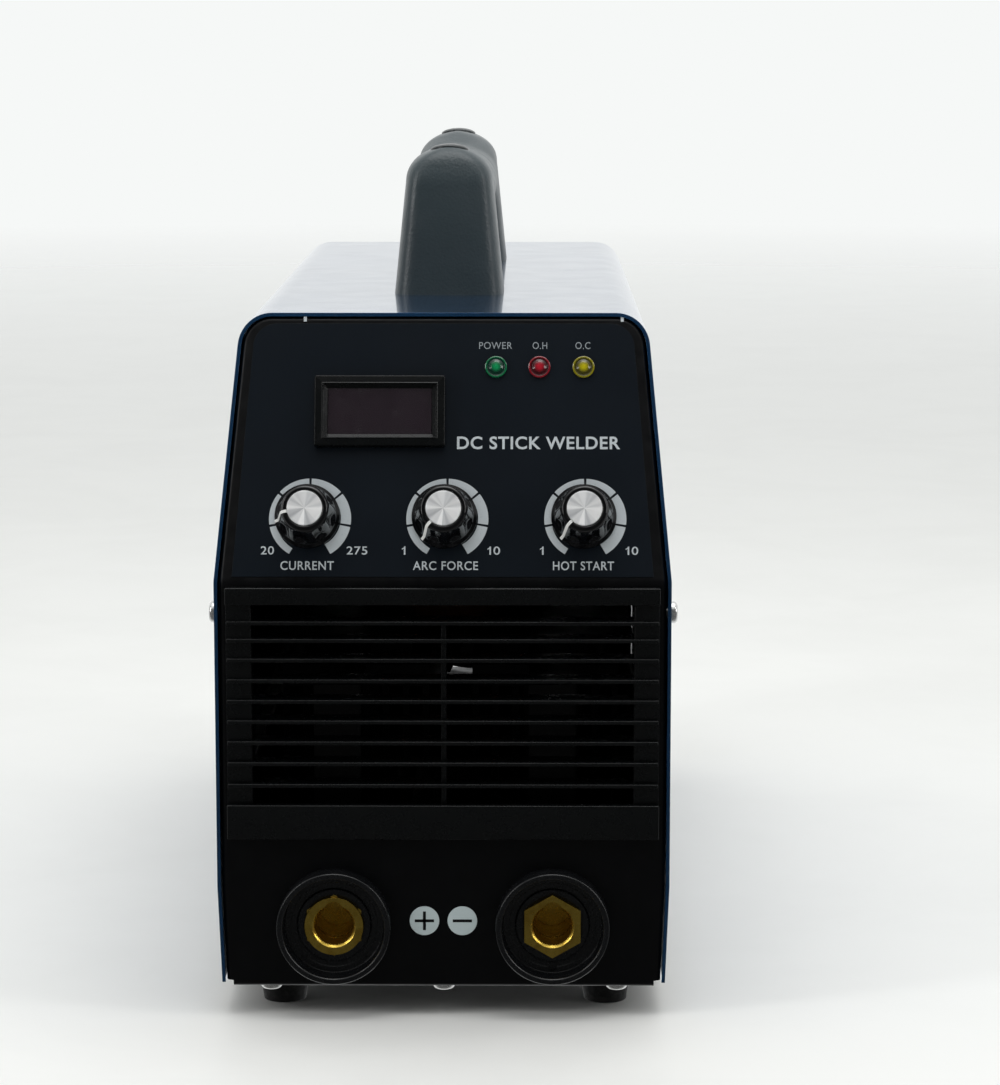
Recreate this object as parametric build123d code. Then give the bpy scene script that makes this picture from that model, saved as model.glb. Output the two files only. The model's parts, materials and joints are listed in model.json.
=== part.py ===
from build123d import *
import os
from math import atan2, cos, degrees, radians, sin, tan

# Stick welding inverter: a folded steel case with a carrying handle, a control panel that leans
# back above a knee line, an outlet grille, two output sockets, a rear fan and the power stage.
# Millimetres. X is to the right seen from the front, Y runs to the rear, Z is up.
# While it is built, y = 0 is the front edge of the cover and z = 0 is the floor.

# ---- driving sizes of the case ----
CASE_WIDTH = 152.4
CASE_LENGTH = 390.0
CASE_TOP = 236.0
TOP_WIDTH = 137.0
BOTTOM_WIDTH = 149.8
KNEE_HEIGHT = 149.0
BELT_HEIGHT = 45.0
COVER_BOTTOM = 11.6
FOOT_HEIGHT = 10.0
PANEL_SETBACK = 30.0
CORNER_RADIUS = 11.4
KNEE_RADIUS = 3.0
PANEL_KNEE_RADIUS = 9.0
SHEET = 1.2
SHEET_GAP = 0.35
PANEL_RECESS = 0.5
PANEL_EDGE_RADIUS = 1.8
FLANGE_DEPTH = 18.0
BOTTOM_FLANGE = 34.0
TRAY_WALL_TOP = 62.0
CORNER_NOTCH = 2.2
TRAY_END_GAP = 2.0

# ---- the leaning control panel: x across, s up the slope from the knee line ----
LABEL_THICKNESS = 0.25
LABEL_BOTTOM = 1.6
LABEL_TOP = 88.2
LABEL_HALF_BOTTOM = 70.2
LABEL_HALF_TOP = 63.6
LABEL_CORNER = 8.0
KNOB_X = (-45.2, 0.5, 47.0)
KNOB_S = 21.9
KNOB_SKIRT_RADIUS = 10.9
KNOB_SKIRT_EDGE = 1.2
KNOB_CROWN_RADIUS = 9.6
KNOB_TOP_RADIUS = 8.1
KNOB_TOP_CHAMFER = 1.2
KNOB_HEIGHT = 16.0
KNOB_SKIRT_HEIGHT = 3.4
KNOB_CLEARANCE = 0.5
KNOB_CAVITY_RADIUS = 7.0
KNOB_CAVITY_DEPTH = 5.6
KNOB_SCALLOPS = 8
KNOB_SCALLOP_RADIUS = 4.0
KNOB_SCALLOP_DEPTH = 1.1
KNOB_CAP_RADIUS = 5.9
KNOB_CAP_THICKNESS = 1.0
KNOB_CAP_PROUD = 0.2
KNOB_CAP_CHAMFER = 0.25
SHAFT_SHORT = 3.0
SHAFT_IN_CAN = 9.0
SHAFT_RADIUS = 3.0
RUNNING_CLEARANCE = 0.05
BUSHING_RADIUS = 3.5
BUSHING_LENGTH = 4.8
HOLE_CLEARANCE = 0.2
POT_RADIUS = 8.2
POT_NUT_ACROSS = 10.0
POT_NUT_THICKNESS = 2.0
POT_BACK_GAP = 0.3
POT_BACK_WALL = 3.0
BOARD_THICKNESS = 1.6
CONTROL_BOARD_DEPTH = 13.0
CONTROL_BOARD_SIZE = (124.0, 70.0)
CONTROL_BOARD_S = 44.0
LED_X = (17.6, 32.2, 47.0)
LED_S = 73.1
LED_FLANGE_RADIUS = 3.7
LED_STEM_RADIUS = 2.5
LED_FLANGE_THICKNESS = 1.0
LED_DOME_RADIUS = 4.0
LED_DOME_SINK = 2.2
LED_DOME_STEP = 0.4
DISPLAY_X = -21.3
DISPLAY_S = 57.6
BEZEL_SIZE = (43.8, 24.2)
BEZEL_PROUD = 3.0
BEZEL_MOUTH = (38.2, 18.9)
WINDOW_SIZE = (34.8, 17.2)
WINDOW_DEPTH = 1.4
WINDOW_THICKNESS = 1.4
BEZEL_SPIGOT_WALL = 1.6
BEZEL_CHAMFER = 0.6
METER_INSET = 1.0
METER_GAP = 0.6

# ---- outlet grille ----
GRILLE_WIDTH = 144.8
GRILLE_TOP = 147.3
GRILLE_TOP_BAR = 5.7
GRILLE_BOTTOM = 61.8
GRILLE_BOTTOM_BAR = 11.7
GRILLE_PROUD = 3.4
GRILLE_PLATE = 1.2
GRILLE_WINDOW_WIDTH = 128.0
RIB_SHARES = (0.091, 0.178, 0.276, 0.379, 0.482, 0.584, 0.689, 0.794, 0.903)
RIB_THICKNESS = 1.3
RIB_DEPTH = 11.0
MULLION_X = 0.3
MULLION_WIDTH = 1.8
SPIGOT_WALL = 1.4
BAR_CHAMFER = 0.5
RIB_END_INSET = 0.4
RIB_SET_BACK = 0.2

# ---- output sockets ----
SOCKET_X = 36.8
SOCKET_Z = 32.0
SOCKET_RIM_RADIUS = 19.2
SOCKET_CUP_RADIUS = 17.0
SOCKET_PROUD = 8.0
SOCKET_CUP_DEPTH = 6.5
SOCKET_RING_RADIUS = 12.5
SOCKET_NECK_RADIUS = 15.8
SOCKET_NECK_LENGTH = 14.0
SOCKET_RIM_FILLET = 0.9
SOCKET_RING_PROUD = 0.8
CLAMP_RING_RADIUS = 18.6
CLAMP_RING_THICKNESS = 5.0
INSERT_SINK = 3.9
INSERT_BORE_RADIUS = 6.5
INSERT_BORE_LENGTH = 26.0
INSERT_MOUTH_CHAMFER = 0.9
INSERT_ROUND_RADIUS = 9.9
INSERT_HEX_ACROSS = 19.0
INSERT_HEAD_LENGTH = 9.0
INSERT_HEX_DROP = 1.5
INSERT_STEP = 0.6
INSERT_END_WALL = 4.0
KEYWAY_RADIUS = 3.3
KEYWAY_OFFSET = 5.2
LOCK_GROOVE_RADIUS = 7.3
LOCK_GROOVE_WIDTH = 3.0
LOCK_GROOVE_DEPTH = 9.0
STUD_RADIUS = 5.0
STUD_LENGTH = 12.0
STUD_NUT_ACROSS = 17.0
STUD_NUT_THICKNESS = 6.0
POLARITY_DISC_RADIUS = 5.0
POLARITY_X = 6.4
POLARITY_Z = 33.0

# ---- handle ----
HANDLE_START = 102.0
HANDLE_LENGTH = 208.0
HANDLE_HEIGHT = 52.4
HANDLE_DIP = 4.5
HANDLE_BASE_WIDTH = 39.4
HANDLE_GRIP_WIDTH = 31.4
HANDLE_CROWN_HEIGHT = 12.0
HANDLE_LEG = 42.0
HANDLE_LEG_CREST = 34.0
HANDLE_DIP_RUN = 8.0
HANDLE_SHOULDER_LEAN = 5.0
HANDLE_CREST_LEAN = 9.0
HANDLE_SHOULDER_DROP = 11.0
HANDLE_GAP_LEAN = 5.0
HANDLE_CREST_BEND = 9.0
HANDLE_SHOULDER_BEND = 15.0
HANDLE_GRIP_BEND = 12.0
HAND_GAP_HEIGHT = 30.0
HANDLE_EDGE_RADIUS = 2.4
HANDLE_CROWN_SPARE = 1.6
HANDLE_SCREW_INSET = 20.0
HANDLE_SEAT = 12.0
HANDLE_WELL_RADIUS = 6.0
HANDLE_CAP_RADIUS = 6.9
HANDLE_CAP_PROUD = 0.9
HANDLE_CAP_STEM = 6.0

# ---- fasteners and feet ----
M4_RADIUS = 2.0
M4_HEAD_RADIUS = 3.7
M4_HEAD_HEIGHT = 2.5
M4_LENGTH = 8.0
FAN_SCREW_LENGTH = 20.0
M5_RADIUS = 2.5
M5_HEAD_RADIUS = 4.5
M5_HEAD_HEIGHT = 2.6
M5_NUT_ACROSS = 8.0
M5_NUT_THICKNESS = 3.2
M5_SPARE_THREAD = 2.0
FOOT_SCREW_LENGTH = 12.5
RECESS_LENGTH = 1.05
RECESS_WIDTH = 0.28
RECESS_FLOOR = 0.45
HEAD_ROUNDING = 0.55
SCREW_HOLE_CLEARANCE = 0.25
SIDE_SCREW_HEIGHT = 137.0
SIDE_SCREW_INSET = 11.0
TRAY_SCREW_HEIGHT = 54.0
TRAY_SCREW_INSET = 76.0
BASE_SCREW_X = (-58.7, 0.0, 58.7)
BASE_SCREW_INSET = 8.0
FOOT_RADIUS = 8.5
FOOT_TAPER = 1.2
FOOT_WELL_DEPTH = 5.0
FOOT_WELL_CLEARANCE = 0.4
FOOT_X = 55.2
FOOT_INSET = 22.0

# ---- rear: fan, switch, cable gland, earth stud ----
FAN_SIZE = 119.0
FAN_DEPTH = 25.0
FAN_Z = 102.0
FAN_DUCT_RADIUS = 57.0
FAN_BLADE_RADIUS = 55.5
FAN_HUB_RADIUS = 19.0
FAN_BLADES = 11
FAN_BLADE_PITCH = 30.0
FAN_BLADE_CHORD = 40.0
FAN_BLADE_THICKNESS = 1.6
FAN_FRONT_GAP = 4.0
FAN_REAR_GAP = 2.0
FAN_CORNER_RADIUS = 6.0
FAN_STRUT = (4.0, 2.5)
FAN_BOSS_THICKNESS = 3.5
FAN_AXLE_LENGTH = 3.2
FAN_SCREW_SPACING = 105.0
FAN_AXLE_RADIUS = 2.0
GUARD_WIRE_RADIUS = 1.1
GUARD_RINGS = (14.0, 24.0, 34.0, 44.0, 54.0)
GUARD_EYE_RIM = 1.0
GUARD_EYE_THICKNESS = 2.86
GUARD_RING_LEVEL = 3.3
GUARD_WIRE_LEVEL = 1.98
SWITCH_X = -36.0
SWITCH_Z = 198.0
SWITCH_SIZE = (26.0, 36.0)
SWITCH_OPENING = (20.4, 29.4)
SWITCH_FLANGE = 2.2
SWITCH_DEPTH = 26.0
SWITCH_WALL = 1.6
SWITCH_EDGE = 0.8
ROCKER_SIZE = (19.6, 26.4)
ROCKER_TILT = 12.0
ROCKER_PIVOT_DEPTH = 2.0
ROCKER_PIVOT_RADIUS = 1.5
ROCKER_PIN_END = 1.0
ROCKER_PIN_PLAY = 0.2
ROCKER_FLOOR = 3.0
ROCKER_TAPER = 1.0
GLAND_X = 36.0
GLAND_Z = 198.0
GLAND_BORE_RADIUS = 6.0
GLAND_THREAD_RADIUS = 10.0
GLAND_HEX_ACROSS = 24.0
GLAND_THREAD_INSIDE = 12.0
GLAND_FLANGE = 5.0
GLAND_NUT_GAP = 0.5
GLAND_BODY_END = 14.0
GLAND_DOME_HEIGHT = 6.0
GLAND_DOME_STEP = 0.4
GLAND_DOME_LIP = 2.0
GLAND_LOCK_NUT = 4.0
EARTH_X = 52.0
EARTH_Z = 27.0
EARTH_RADIUS = 3.0
EARTH_SHOULDER_RADIUS = 3.5
EARTH_NUT_TOP = 5.0
EARTH_PROUD = 15.0
EARTH_HEAD = (10.0, 4.0)
EARTH_NUT_ACROSS = 11.0
EARTH_FLANGE = (6.5, 1.2)

# ---- power stage ----
SINK_SIZE = (54.0, 200.0, 60.0)
SINK_X = 35.0
SINK_Y = 120.0
SINK_Z = 38.0
SINK_BASE = 8.0
SINK_FINS = 8
SINK_FIN_THICKNESS = 2.4
SINK_FIN_GAP = 2.0
POST_RADIUS = 5.0
POST_INSET = 15.0
POST_PAD = 8.0
SPACER_INSET = 6.0
DEVICE_SIZE = (16.0, 21.0, 5.0)
DEVICE_OFFSETS = (-8.0, 12.0)
DEVICE_ROWS = 5
DEVICE_START = 36.0
DEVICE_PITCH = 32.0
STANDOFF_HEIGHT = 11.0
STANDOFF_RADIUS = 3.0
MAIN_BOARD_SIZE = (134.0, 224.0)
MAIN_BOARD_Y = 108.0
CAPACITOR_RADIUS = 17.5
CAPACITOR_HEIGHT = 50.0
CAPACITOR_GAP = 4.0
CAPACITOR_INSET = 24.0
CAPACITOR_CHAMFER = 1.2
CORE_SIZE = (70.0, 44.0, 66.0)
CORE_INSET = 92.0
CORE_LIMB = 15.0
CORE_MIDDLE = 20.0
CORE_WINDOW_STEP = 2.0
WINDING_REACH = 12.0
WINDING_SIDE_GAP = 1.0
WINDING_CORNER = 9.0
CHOKE_RADIUS = 22.0
CHOKE_WIRE_RADIUS = 10.0
CHOKE_INSET = 27.0
STRAP_WIDTH = 16.0
STRAP_THICKNESS = 2.0
STRAP_OVER_BOARD = 10.0

# ---- construction ----
THROUGH = 10.0
OVERLAP = 0.5
OVERSHOOT = 1.0

# ---- worked out ----
CASE_HALF = CASE_WIDTH / 2
SIDE_LEAN = atan2(CASE_HALF - TOP_WIDTH / 2, CASE_TOP - KNEE_HEIGHT)
PANEL_LEAN = atan2(PANEL_SETBACK, CASE_TOP - KNEE_HEIGHT)
PANEL_INSET = SHEET + SHEET_GAP
TRAY_INSET = PANEL_INSET + SHEET + SHEET_GAP
FLOOR_TOP = FOOT_HEIGHT + 2 * SHEET
REAR_FACE = CASE_LENGTH - PANEL_RECESS
STUD_ROOT = SOCKET_PROUD - INSERT_SINK - INSERT_BORE_LENGTH - INSERT_END_WALL
SINK_TOP = SINK_Z + SINK_SIZE[2]
MAIN_BOARD_Z = SINK_TOP + STANDOFF_HEIGHT
MAIN_BOARD_TOP = MAIN_BOARD_Z + BOARD_THICKNESS
CORE_Y = MAIN_BOARD_Y + CORE_INSET
HANDLE_SHOULDER = HANDLE_HEIGHT - HANDLE_CROWN_HEIGHT
PANEL_NORMAL = Vector(0, -cos(PANEL_LEAN), sin(PANEL_LEAN))
PANEL_FOOT = (0, PANEL_RECESS / cos(PANEL_LEAN), KNEE_HEIGHT)
PANEL = Plane(origin=PANEL_FOOT, x_dir=(1, 0, 0), z_dir=PANEL_NORMAL)
REAR = Plane(origin=(0, REAR_FACE, 0), x_dir=(-1, 0, 0), z_dir=(0, 1, 0))
LOW_FRONT = Plane(origin=(0, PANEL_RECESS, 0), x_dir=(1, 0, 0), z_dir=(0, -1, 0))
RISE = (Align.CENTER, Align.CENTER, Align.MIN)
SINK = (Align.CENTER, Align.CENTER, Align.MAX)


# ---- shared shapes ----
def block(x_range, y_range, z_range):
    """Box between two limits on each axis."""
    size = [high - low for low, high in (x_range, y_range, z_range)]
    middle = [(high + low) / 2 for low, high in (x_range, y_range, z_range)]
    return Pos(*middle) * Box(*size)


def plate(plane, centre, size, low, high):
    """Box on a plane: its outline about a centre, from one height to another along the normal."""
    return plane * Pos(centre[0], centre[1], low) * Box(size[0], size[1], high - low, align=RISE)


def rod(plane, centre, radius, low, high):
    """Round bar on a plane, from one height to another along the normal."""
    return plane * Pos(centre[0], centre[1], low) * Cylinder(radius, high - low, align=RISE)


def hexagon(plane, centre, across, low, high, turn=0):
    """Hexagonal bar on a plane, with a corner up when turn is 0."""
    outline = Rot(0, 0, 90 + turn) * RegularPolygon(across / 2, 6, major_radius=False)
    return plane * Pos(centre[0], centre[1], low) * extrude(outline, high - low)


def pan_screw(plane, centre, radius, head_radius, head_height, length, seat=0.0):
    """Cross-recess pan-head screw: the head stands on the plane at the seat, the shank goes behind."""
    head = rod(plane, centre, head_radius, seat, seat + head_height)
    top_edge = head.edges().sort_by(lambda edge: -(edge.center() - plane.origin).dot(plane.z_dir))[0]
    head = fillet(top_edge, head_height * HEAD_ROUNDING)
    shank = rod(plane, centre, radius, seat - length, seat)
    slot = (head_radius * RECESS_LENGTH, head_radius * RECESS_WIDTH)
    cuts = [plate(plane, centre, size, seat + head_height * RECESS_FLOOR, seat + head_height * 2)
            for size in (slot, slot[::-1])]
    return head + shank - cuts[0] - cuts[1]


def case_section(inset, bottom, reach):
    """Solid along Y with the cover's cross-section, drawn in by an inset on the sides and top."""
    low_slope = (CASE_HALF - BOTTOM_WIDTH / 2) / (BELT_HEIGHT - COVER_BOTTOM)
    low_half = CASE_HALF - (BELT_HEIGHT - bottom) * low_slope - inset
    top = CASE_TOP - inset
    top_half = CASE_HALF - (top - KNEE_HEIGHT) * tan(SIDE_LEAN) - inset / cos(SIDE_LEAN)
    knee = KNEE_HEIGHT - inset * tan(SIDE_LEAN / 2)
    side = [(low_half, bottom), (CASE_HALF - inset, BELT_HEIGHT), (CASE_HALF - inset, knee), (top_half, top)]
    outline = make_face(Polyline(*side, *[(-x, z) for x, z in reversed(side)], close=True))
    outline = fillet(outline.vertices().group_by(Axis.Y)[-1], CORNER_RADIUS - inset)
    knees = [corner for corner in outline.vertices() if abs(corner.Y - knee) < 0.01]
    outline = fillet(knees, KNEE_RADIUS)
    start, end = reach
    return Plane(origin=(0, start, 0), x_dir=(1, 0, 0), z_dir=(0, -1, 0)) * extrude(outline, start - end)


def behind_front(offset, bend):
    """Everything behind the bent front surface, which is moved back by an offset."""
    knee = KNEE_HEIGHT - offset * tan(PANEL_LEAN / 2)
    over = CASE_TOP + 20
    lean_y = (over - KNEE_HEIGHT) * tan(PANEL_LEAN) + offset / cos(PANEL_LEAN)
    outline = make_face(Polyline(
        (offset, -20), (offset, knee), (lean_y, over), (CASE_LENGTH + 50, over), (CASE_LENGTH + 50, -20),
        close=True))
    if bend > 0:
        corner = [point for point in outline.vertices() if abs(point.Y - knee) < 0.01]
        outline = fillet(corner, bend)
    return Plane.YZ * extrude(outline, CASE_WIDTH, both=True)


# ---- where fasteners go ----
def side_plane(side):
    """Plane on the cover's upright side, with its normal outwards."""
    return Plane(origin=(side * CASE_HALF, 0, 0), x_dir=(0, side, 0), z_dir=(side, 0, 0))


def side_places(side):
    """Side screw centres on the side plane: two at the knee, two into the tray."""
    upper = [SIDE_SCREW_INSET, CASE_LENGTH - SIDE_SCREW_INSET]
    lower = [TRAY_SCREW_INSET, CASE_LENGTH - TRAY_SCREW_INSET]
    places = [(y, SIDE_SCREW_HEIGHT) for y in upper] + [(y, TRAY_SCREW_HEIGHT) for y in lower]
    return [(side * y, z) for y, z in places]


UNDERSIDE = Plane(origin=(0, 0, FOOT_HEIGHT), x_dir=(1, 0, 0), z_dir=(0, 0, -1))
BASE_SCREWS = [(x, -y) for x in BASE_SCREW_X for y in (BASE_SCREW_INSET, CASE_LENGTH - BASE_SCREW_INSET)]
FEET = [(x, -y) for x in (-FOOT_X, FOOT_X) for y in (FOOT_INSET, CASE_LENGTH - FOOT_INSET)]
HANDLE_SCREWS = [(0, HANDLE_START + y) for y in (HANDLE_SCREW_INSET, HANDLE_LENGTH - HANDLE_SCREW_INSET)]


def screw_holes(radius, plane, places, depth):
    """Clearance holes for screws, both ways from a plane."""
    return [rod(plane, place, radius + SCREW_HOLE_CLEARANCE, -depth, depth) for place in places]


# ---- case ----
def make_cover():
    """One folded sheet: two sides with a knee bend, rounded top corners, front edge cut to the lean."""
    outer = case_section(0, COVER_BOTTOM, (0, CASE_LENGTH)) & behind_front(0, PANEL_KNEE_RADIUS)
    shell = outer - case_section(SHEET, COVER_BOTTOM - OVERSHOOT, (-THROUGH, CASE_LENGTH + THROUGH))
    for side in (-1, 1):
        for hole in screw_holes(M4_RADIUS, side_plane(side), side_places(side), SHEET * 3):
            shell -= hole
    for hole in screw_holes(M5_RADIUS, Plane.XY.offset(CASE_TOP), HANDLE_SCREWS, SHEET * 3):
        shell -= hole
    return shell


def folded_pan(front):
    """Panel sheet with flanges all round, for the front or the rear."""
    gap = PANEL_RECESS
    skin = case_section(PANEL_INSET, FOOT_HEIGHT, (0, CASE_LENGTH))
    hollow = case_section(PANEL_INSET + SHEET, FOOT_HEIGHT + SHEET, (0, CASE_LENGTH))
    wide = (-CASE_WIDTH, CASE_WIDTH)
    tall = (FOOT_HEIGHT + SHEET, CASE_TOP + 10)
    if front:
        skin = skin & behind_front(gap, PANEL_KNEE_RADIUS)
        hollow = hollow & behind_front(gap + SHEET, PANEL_KNEE_RADIUS - SHEET)
        keep = block(wide, (-10, BOTTOM_FLANGE), (0, CASE_TOP + 10)) + block(
            wide, (BOTTOM_FLANGE, CASE_LENGTH), tall)
        return (skin & keep) - hollow - (behind_front(FLANGE_DEPTH, 0) & block(wide, (0, CASE_LENGTH), tall))
    face = CASE_LENGTH - gap
    skin = skin & block(wide, (face - BOTTOM_FLANGE, face), (0, CASE_TOP + 10))
    hollow = hollow & block(wide, (0, face - SHEET), (0, CASE_TOP + 10))
    return skin - hollow - block(wide, (0, face - FLANGE_DEPTH), tall)


def corner_notches():
    """Bend reliefs at the two bottom corners, along the whole length."""
    low_half = BOTTOM_WIDTH / 2 - PANEL_INSET
    return [block((side * low_half - CORNER_NOTCH, side * low_half + CORNER_NOTCH),
                  (-10, CASE_LENGTH + 10), (0, FOOT_HEIGHT + CORNER_NOTCH)) for side in (-1, 1)]


def pan_holes():
    """Holes that both pans share: side screws, base screws and foot screws."""
    holes = []
    for side in (-1, 1):
        holes += screw_holes(M4_RADIUS, side_plane(side), side_places(side), SHEET * 6)
    holes += screw_holes(M4_RADIUS, UNDERSIDE, BASE_SCREWS, SHEET * 3)
    holes += screw_holes(M5_RADIUS, UNDERSIDE, FEET, SHEET * 3)
    return holes


def make_front_panel():
    """Bent front panel, pierced for the controls, the grille and the two sockets."""
    panel = folded_pan(front=True)
    edges = [edge for edge in panel.edges() if on_front_rim(edge)]
    panel = fillet(edges, PANEL_EDGE_RADIUS)
    for cut in corner_notches() + pan_holes():
        panel -= cut
    for x in KNOB_X:
        panel -= rod(PANEL, (x, KNOB_S), BUSHING_RADIUS + HOLE_CLEARANCE, -THROUGH, THROUGH)
    for x in LED_X:
        panel -= rod(PANEL, (x, LED_S), LED_STEM_RADIUS + HOLE_CLEARANCE, -THROUGH, THROUGH)
    spigot = [size + 2 * BEZEL_SPIGOT_WALL + HOLE_CLEARANCE for size in WINDOW_SIZE]
    panel -= plate(PANEL, (DISPLAY_X, DISPLAY_S), spigot, -THROUGH, THROUGH)
    panel -= grille_spigot(HOLE_CLEARANCE, (-THROUGH, THROUGH))
    for x in (-SOCKET_X, SOCKET_X):
        panel -= rod(LOW_FRONT, (x, SOCKET_Z), SOCKET_NECK_RADIUS + HOLE_CLEARANCE, -THROUGH, THROUGH)
    return panel


def on_front_rim(edge):
    """True for the outer edges where the front face turns into the side, top and bottom flanges."""
    middle = edge.center()
    front = PANEL_RECESS + max(0.0, (middle.Z - KNEE_HEIGHT) * tan(PANEL_LEAN))
    near_front = abs(middle.Y - front) < 1.5
    outer_skin = not (case_section(PANEL_INSET + 0.4, FOOT_HEIGHT + 0.4, (-5, 60)).is_inside(middle))
    along = abs(middle.X) > CASE_HALF * 0.8 or middle.Z > CASE_TOP - 5 or middle.Z < FOOT_HEIGHT + 0.3
    return near_front and outer_skin and along


def make_rear_panel():
    """Rear panel, pierced for the fan, the switch, the cable gland and the earth stud."""
    panel = folded_pan(front=False)
    for cut in corner_notches() + pan_holes():
        panel -= cut
    panel -= rod(REAR, (0, FAN_Z), FAN_DUCT_RADIUS, -THROUGH, THROUGH)
    for place in fan_screw_places():
        panel -= rod(REAR, place, M4_RADIUS + SCREW_HOLE_CLEARANCE, -THROUGH, THROUGH)
    body = [size + 2 * SWITCH_WALL + HOLE_CLEARANCE for size in SWITCH_OPENING]
    panel -= plate(REAR, (-SWITCH_X, SWITCH_Z), body, -THROUGH, THROUGH)
    panel -= rod(REAR, (-GLAND_X, GLAND_Z), GLAND_THREAD_RADIUS + HOLE_CLEARANCE, -THROUGH, THROUGH)
    panel -= rod(REAR, (-EARTH_X, EARTH_Z), EARTH_SHOULDER_RADIUS + HOLE_CLEARANCE, -THROUGH, THROUGH)
    return panel


def make_base_tray():
    """Channel that carries the power stage and ties the front and rear pans together."""
    end = PANEL_RECESS + SHEET + TRAY_END_GAP
    ends = (end, CASE_LENGTH - end)
    outer = case_section(TRAY_INSET, FLOOR_TOP - SHEET, ends)
    inner = case_section(TRAY_INSET + SHEET, FLOOR_TOP, (0, CASE_LENGTH))
    above = block((-CASE_WIDTH, CASE_WIDTH), (0, CASE_LENGTH), (TRAY_WALL_TOP, CASE_TOP + 10))
    tray = outer - inner - above
    for cut in pan_holes():
        tray -= cut
    return tray


# ---- control panel ----
def make_label():
    """Printed overlay with rounded top corners, pierced for everything that stands on the panel."""
    corners = [(-LABEL_HALF_BOTTOM, LABEL_BOTTOM), (LABEL_HALF_BOTTOM, LABEL_BOTTOM),
               (LABEL_HALF_TOP, LABEL_TOP), (-LABEL_HALF_TOP, LABEL_TOP)]
    outline = make_face(Polyline(*corners, close=True))
    outline = fillet(outline.vertices().group_by(Axis.Y)[-1], LABEL_CORNER)
    label = PANEL * extrude(outline, LABEL_THICKNESS)
    for x in KNOB_X:
        label -= rod(PANEL, (x, KNOB_S), BUSHING_RADIUS + HOLE_CLEARANCE, -OVERSHOOT, OVERSHOOT)
    for x in LED_X:
        label -= rod(PANEL, (x, LED_S), LED_STEM_RADIUS + HOLE_CLEARANCE, -OVERSHOOT, OVERSHOOT)
    spigot = [size + 2 * BEZEL_SPIGOT_WALL + HOLE_CLEARANCE for size in WINDOW_SIZE]
    return label - plate(PANEL, (DISPLAY_X, DISPLAY_S), spigot, -OVERSHOOT, OVERSHOOT)


def make_bezel():
    """Moulded display frame: a flange on the label, a bevelled mouth and a spigot through the panel."""
    centre = (DISPLAY_X, DISPLAY_S)
    top = LABEL_THICKNESS + BEZEL_PROUD
    frame = plate(PANEL, centre, BEZEL_SIZE, LABEL_THICKNESS, top)
    rim = frame.edges().filter_by(lambda edge: height_on_panel(edge.center()) > top - OVERLAP / 2)
    frame = chamfer(rim, BEZEL_CHAMFER)
    spigot = [size + 2 * BEZEL_SPIGOT_WALL for size in WINDOW_SIZE]
    frame += plate(PANEL, centre, spigot, -CONTROL_BOARD_DEPTH / 2, LABEL_THICKNESS)
    frame -= plate(PANEL, centre, WINDOW_SIZE, -CONTROL_BOARD_DEPTH, top + OVERSHOOT)
    mouth = loft([PANEL * Pos(*centre, top) * Rectangle(*BEZEL_MOUTH),
                  PANEL * Pos(*centre, top - WINDOW_DEPTH) * Rectangle(*WINDOW_SIZE)])
    return frame - mouth


def height_on_panel(point):
    """Distance of a point from the leaning panel's face, along its outward normal."""
    return (point - PANEL.origin).dot(PANEL.z_dir)


def make_window():
    """Smoked window inside the bezel."""
    top = LABEL_THICKNESS + BEZEL_PROUD - WINDOW_DEPTH
    return plate(PANEL, (DISPLAY_X, DISPLAY_S), WINDOW_SIZE, top - WINDOW_THICKNESS, top)


def make_meter():
    """Three-digit display block, standing on the control board behind the window."""
    top = LABEL_THICKNESS + BEZEL_PROUD - WINDOW_DEPTH - WINDOW_THICKNESS
    size = [side - 2 * METER_INSET for side in WINDOW_SIZE]
    return plate(PANEL, (DISPLAY_X, DISPLAY_S), size, -CONTROL_BOARD_DEPTH, top - METER_GAP)


def make_control_board():
    """Board behind the panel that carries the potentiometers, lamps and display."""
    back = -CONTROL_BOARD_DEPTH - BOARD_THICKNESS
    return plate(PANEL, (0, CONTROL_BOARD_S), CONTROL_BOARD_SIZE, back, -CONTROL_BOARD_DEPTH)


def make_led(x):
    """Indicator lamp: a domed coloured cap on a stem that stands on the control board."""
    top = LABEL_THICKNESS + LED_FLANGE_THICKNESS
    flange = rod(PANEL, (x, LED_S), LED_FLANGE_RADIUS, LABEL_THICKNESS, top)
    stem = rod(PANEL, (x, LED_S), LED_STEM_RADIUS, -CONTROL_BOARD_DEPTH, LABEL_THICKNESS)
    ball = PANEL * Pos(x, LED_S, top - LED_DOME_SINK) * Sphere(LED_DOME_RADIUS)
    dome_radius = LED_FLANGE_RADIUS - LED_DOME_STEP
    dome = ball & rod(PANEL, (x, LED_S), dome_radius, top - OVERLAP / 2, top + LED_DOME_RADIUS)
    return flange + stem + dome


def make_pot(x):
    """Potentiometer can on the control board, with a bushing through the panel."""
    place = (x, KNOB_S)
    back = -SHEET - POT_BACK_GAP
    can = rod(PANEL, place, POT_RADIUS, -CONTROL_BOARD_DEPTH, back)
    bushing = rod(PANEL, place, BUSHING_RADIUS, back - OVERLAP, BUSHING_LENGTH)
    floor = -CONTROL_BOARD_DEPTH + POT_BACK_WALL
    bore = rod(PANEL, place, SHAFT_RADIUS + RUNNING_CLEARANCE, floor, BUSHING_LENGTH + OVERSHOOT)
    return can + bushing - bore


def make_pot_nut(x):
    """Nut that clamps a potentiometer to the panel, hidden under its knob."""
    top = LABEL_THICKNESS + POT_NUT_THICKNESS
    nut = hexagon(PANEL, (x, KNOB_S), POT_NUT_ACROSS, LABEL_THICKNESS, top)
    return nut - rod(PANEL, (x, KNOB_S), BUSHING_RADIUS, -OVERSHOOT, top + OVERSHOOT)


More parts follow.
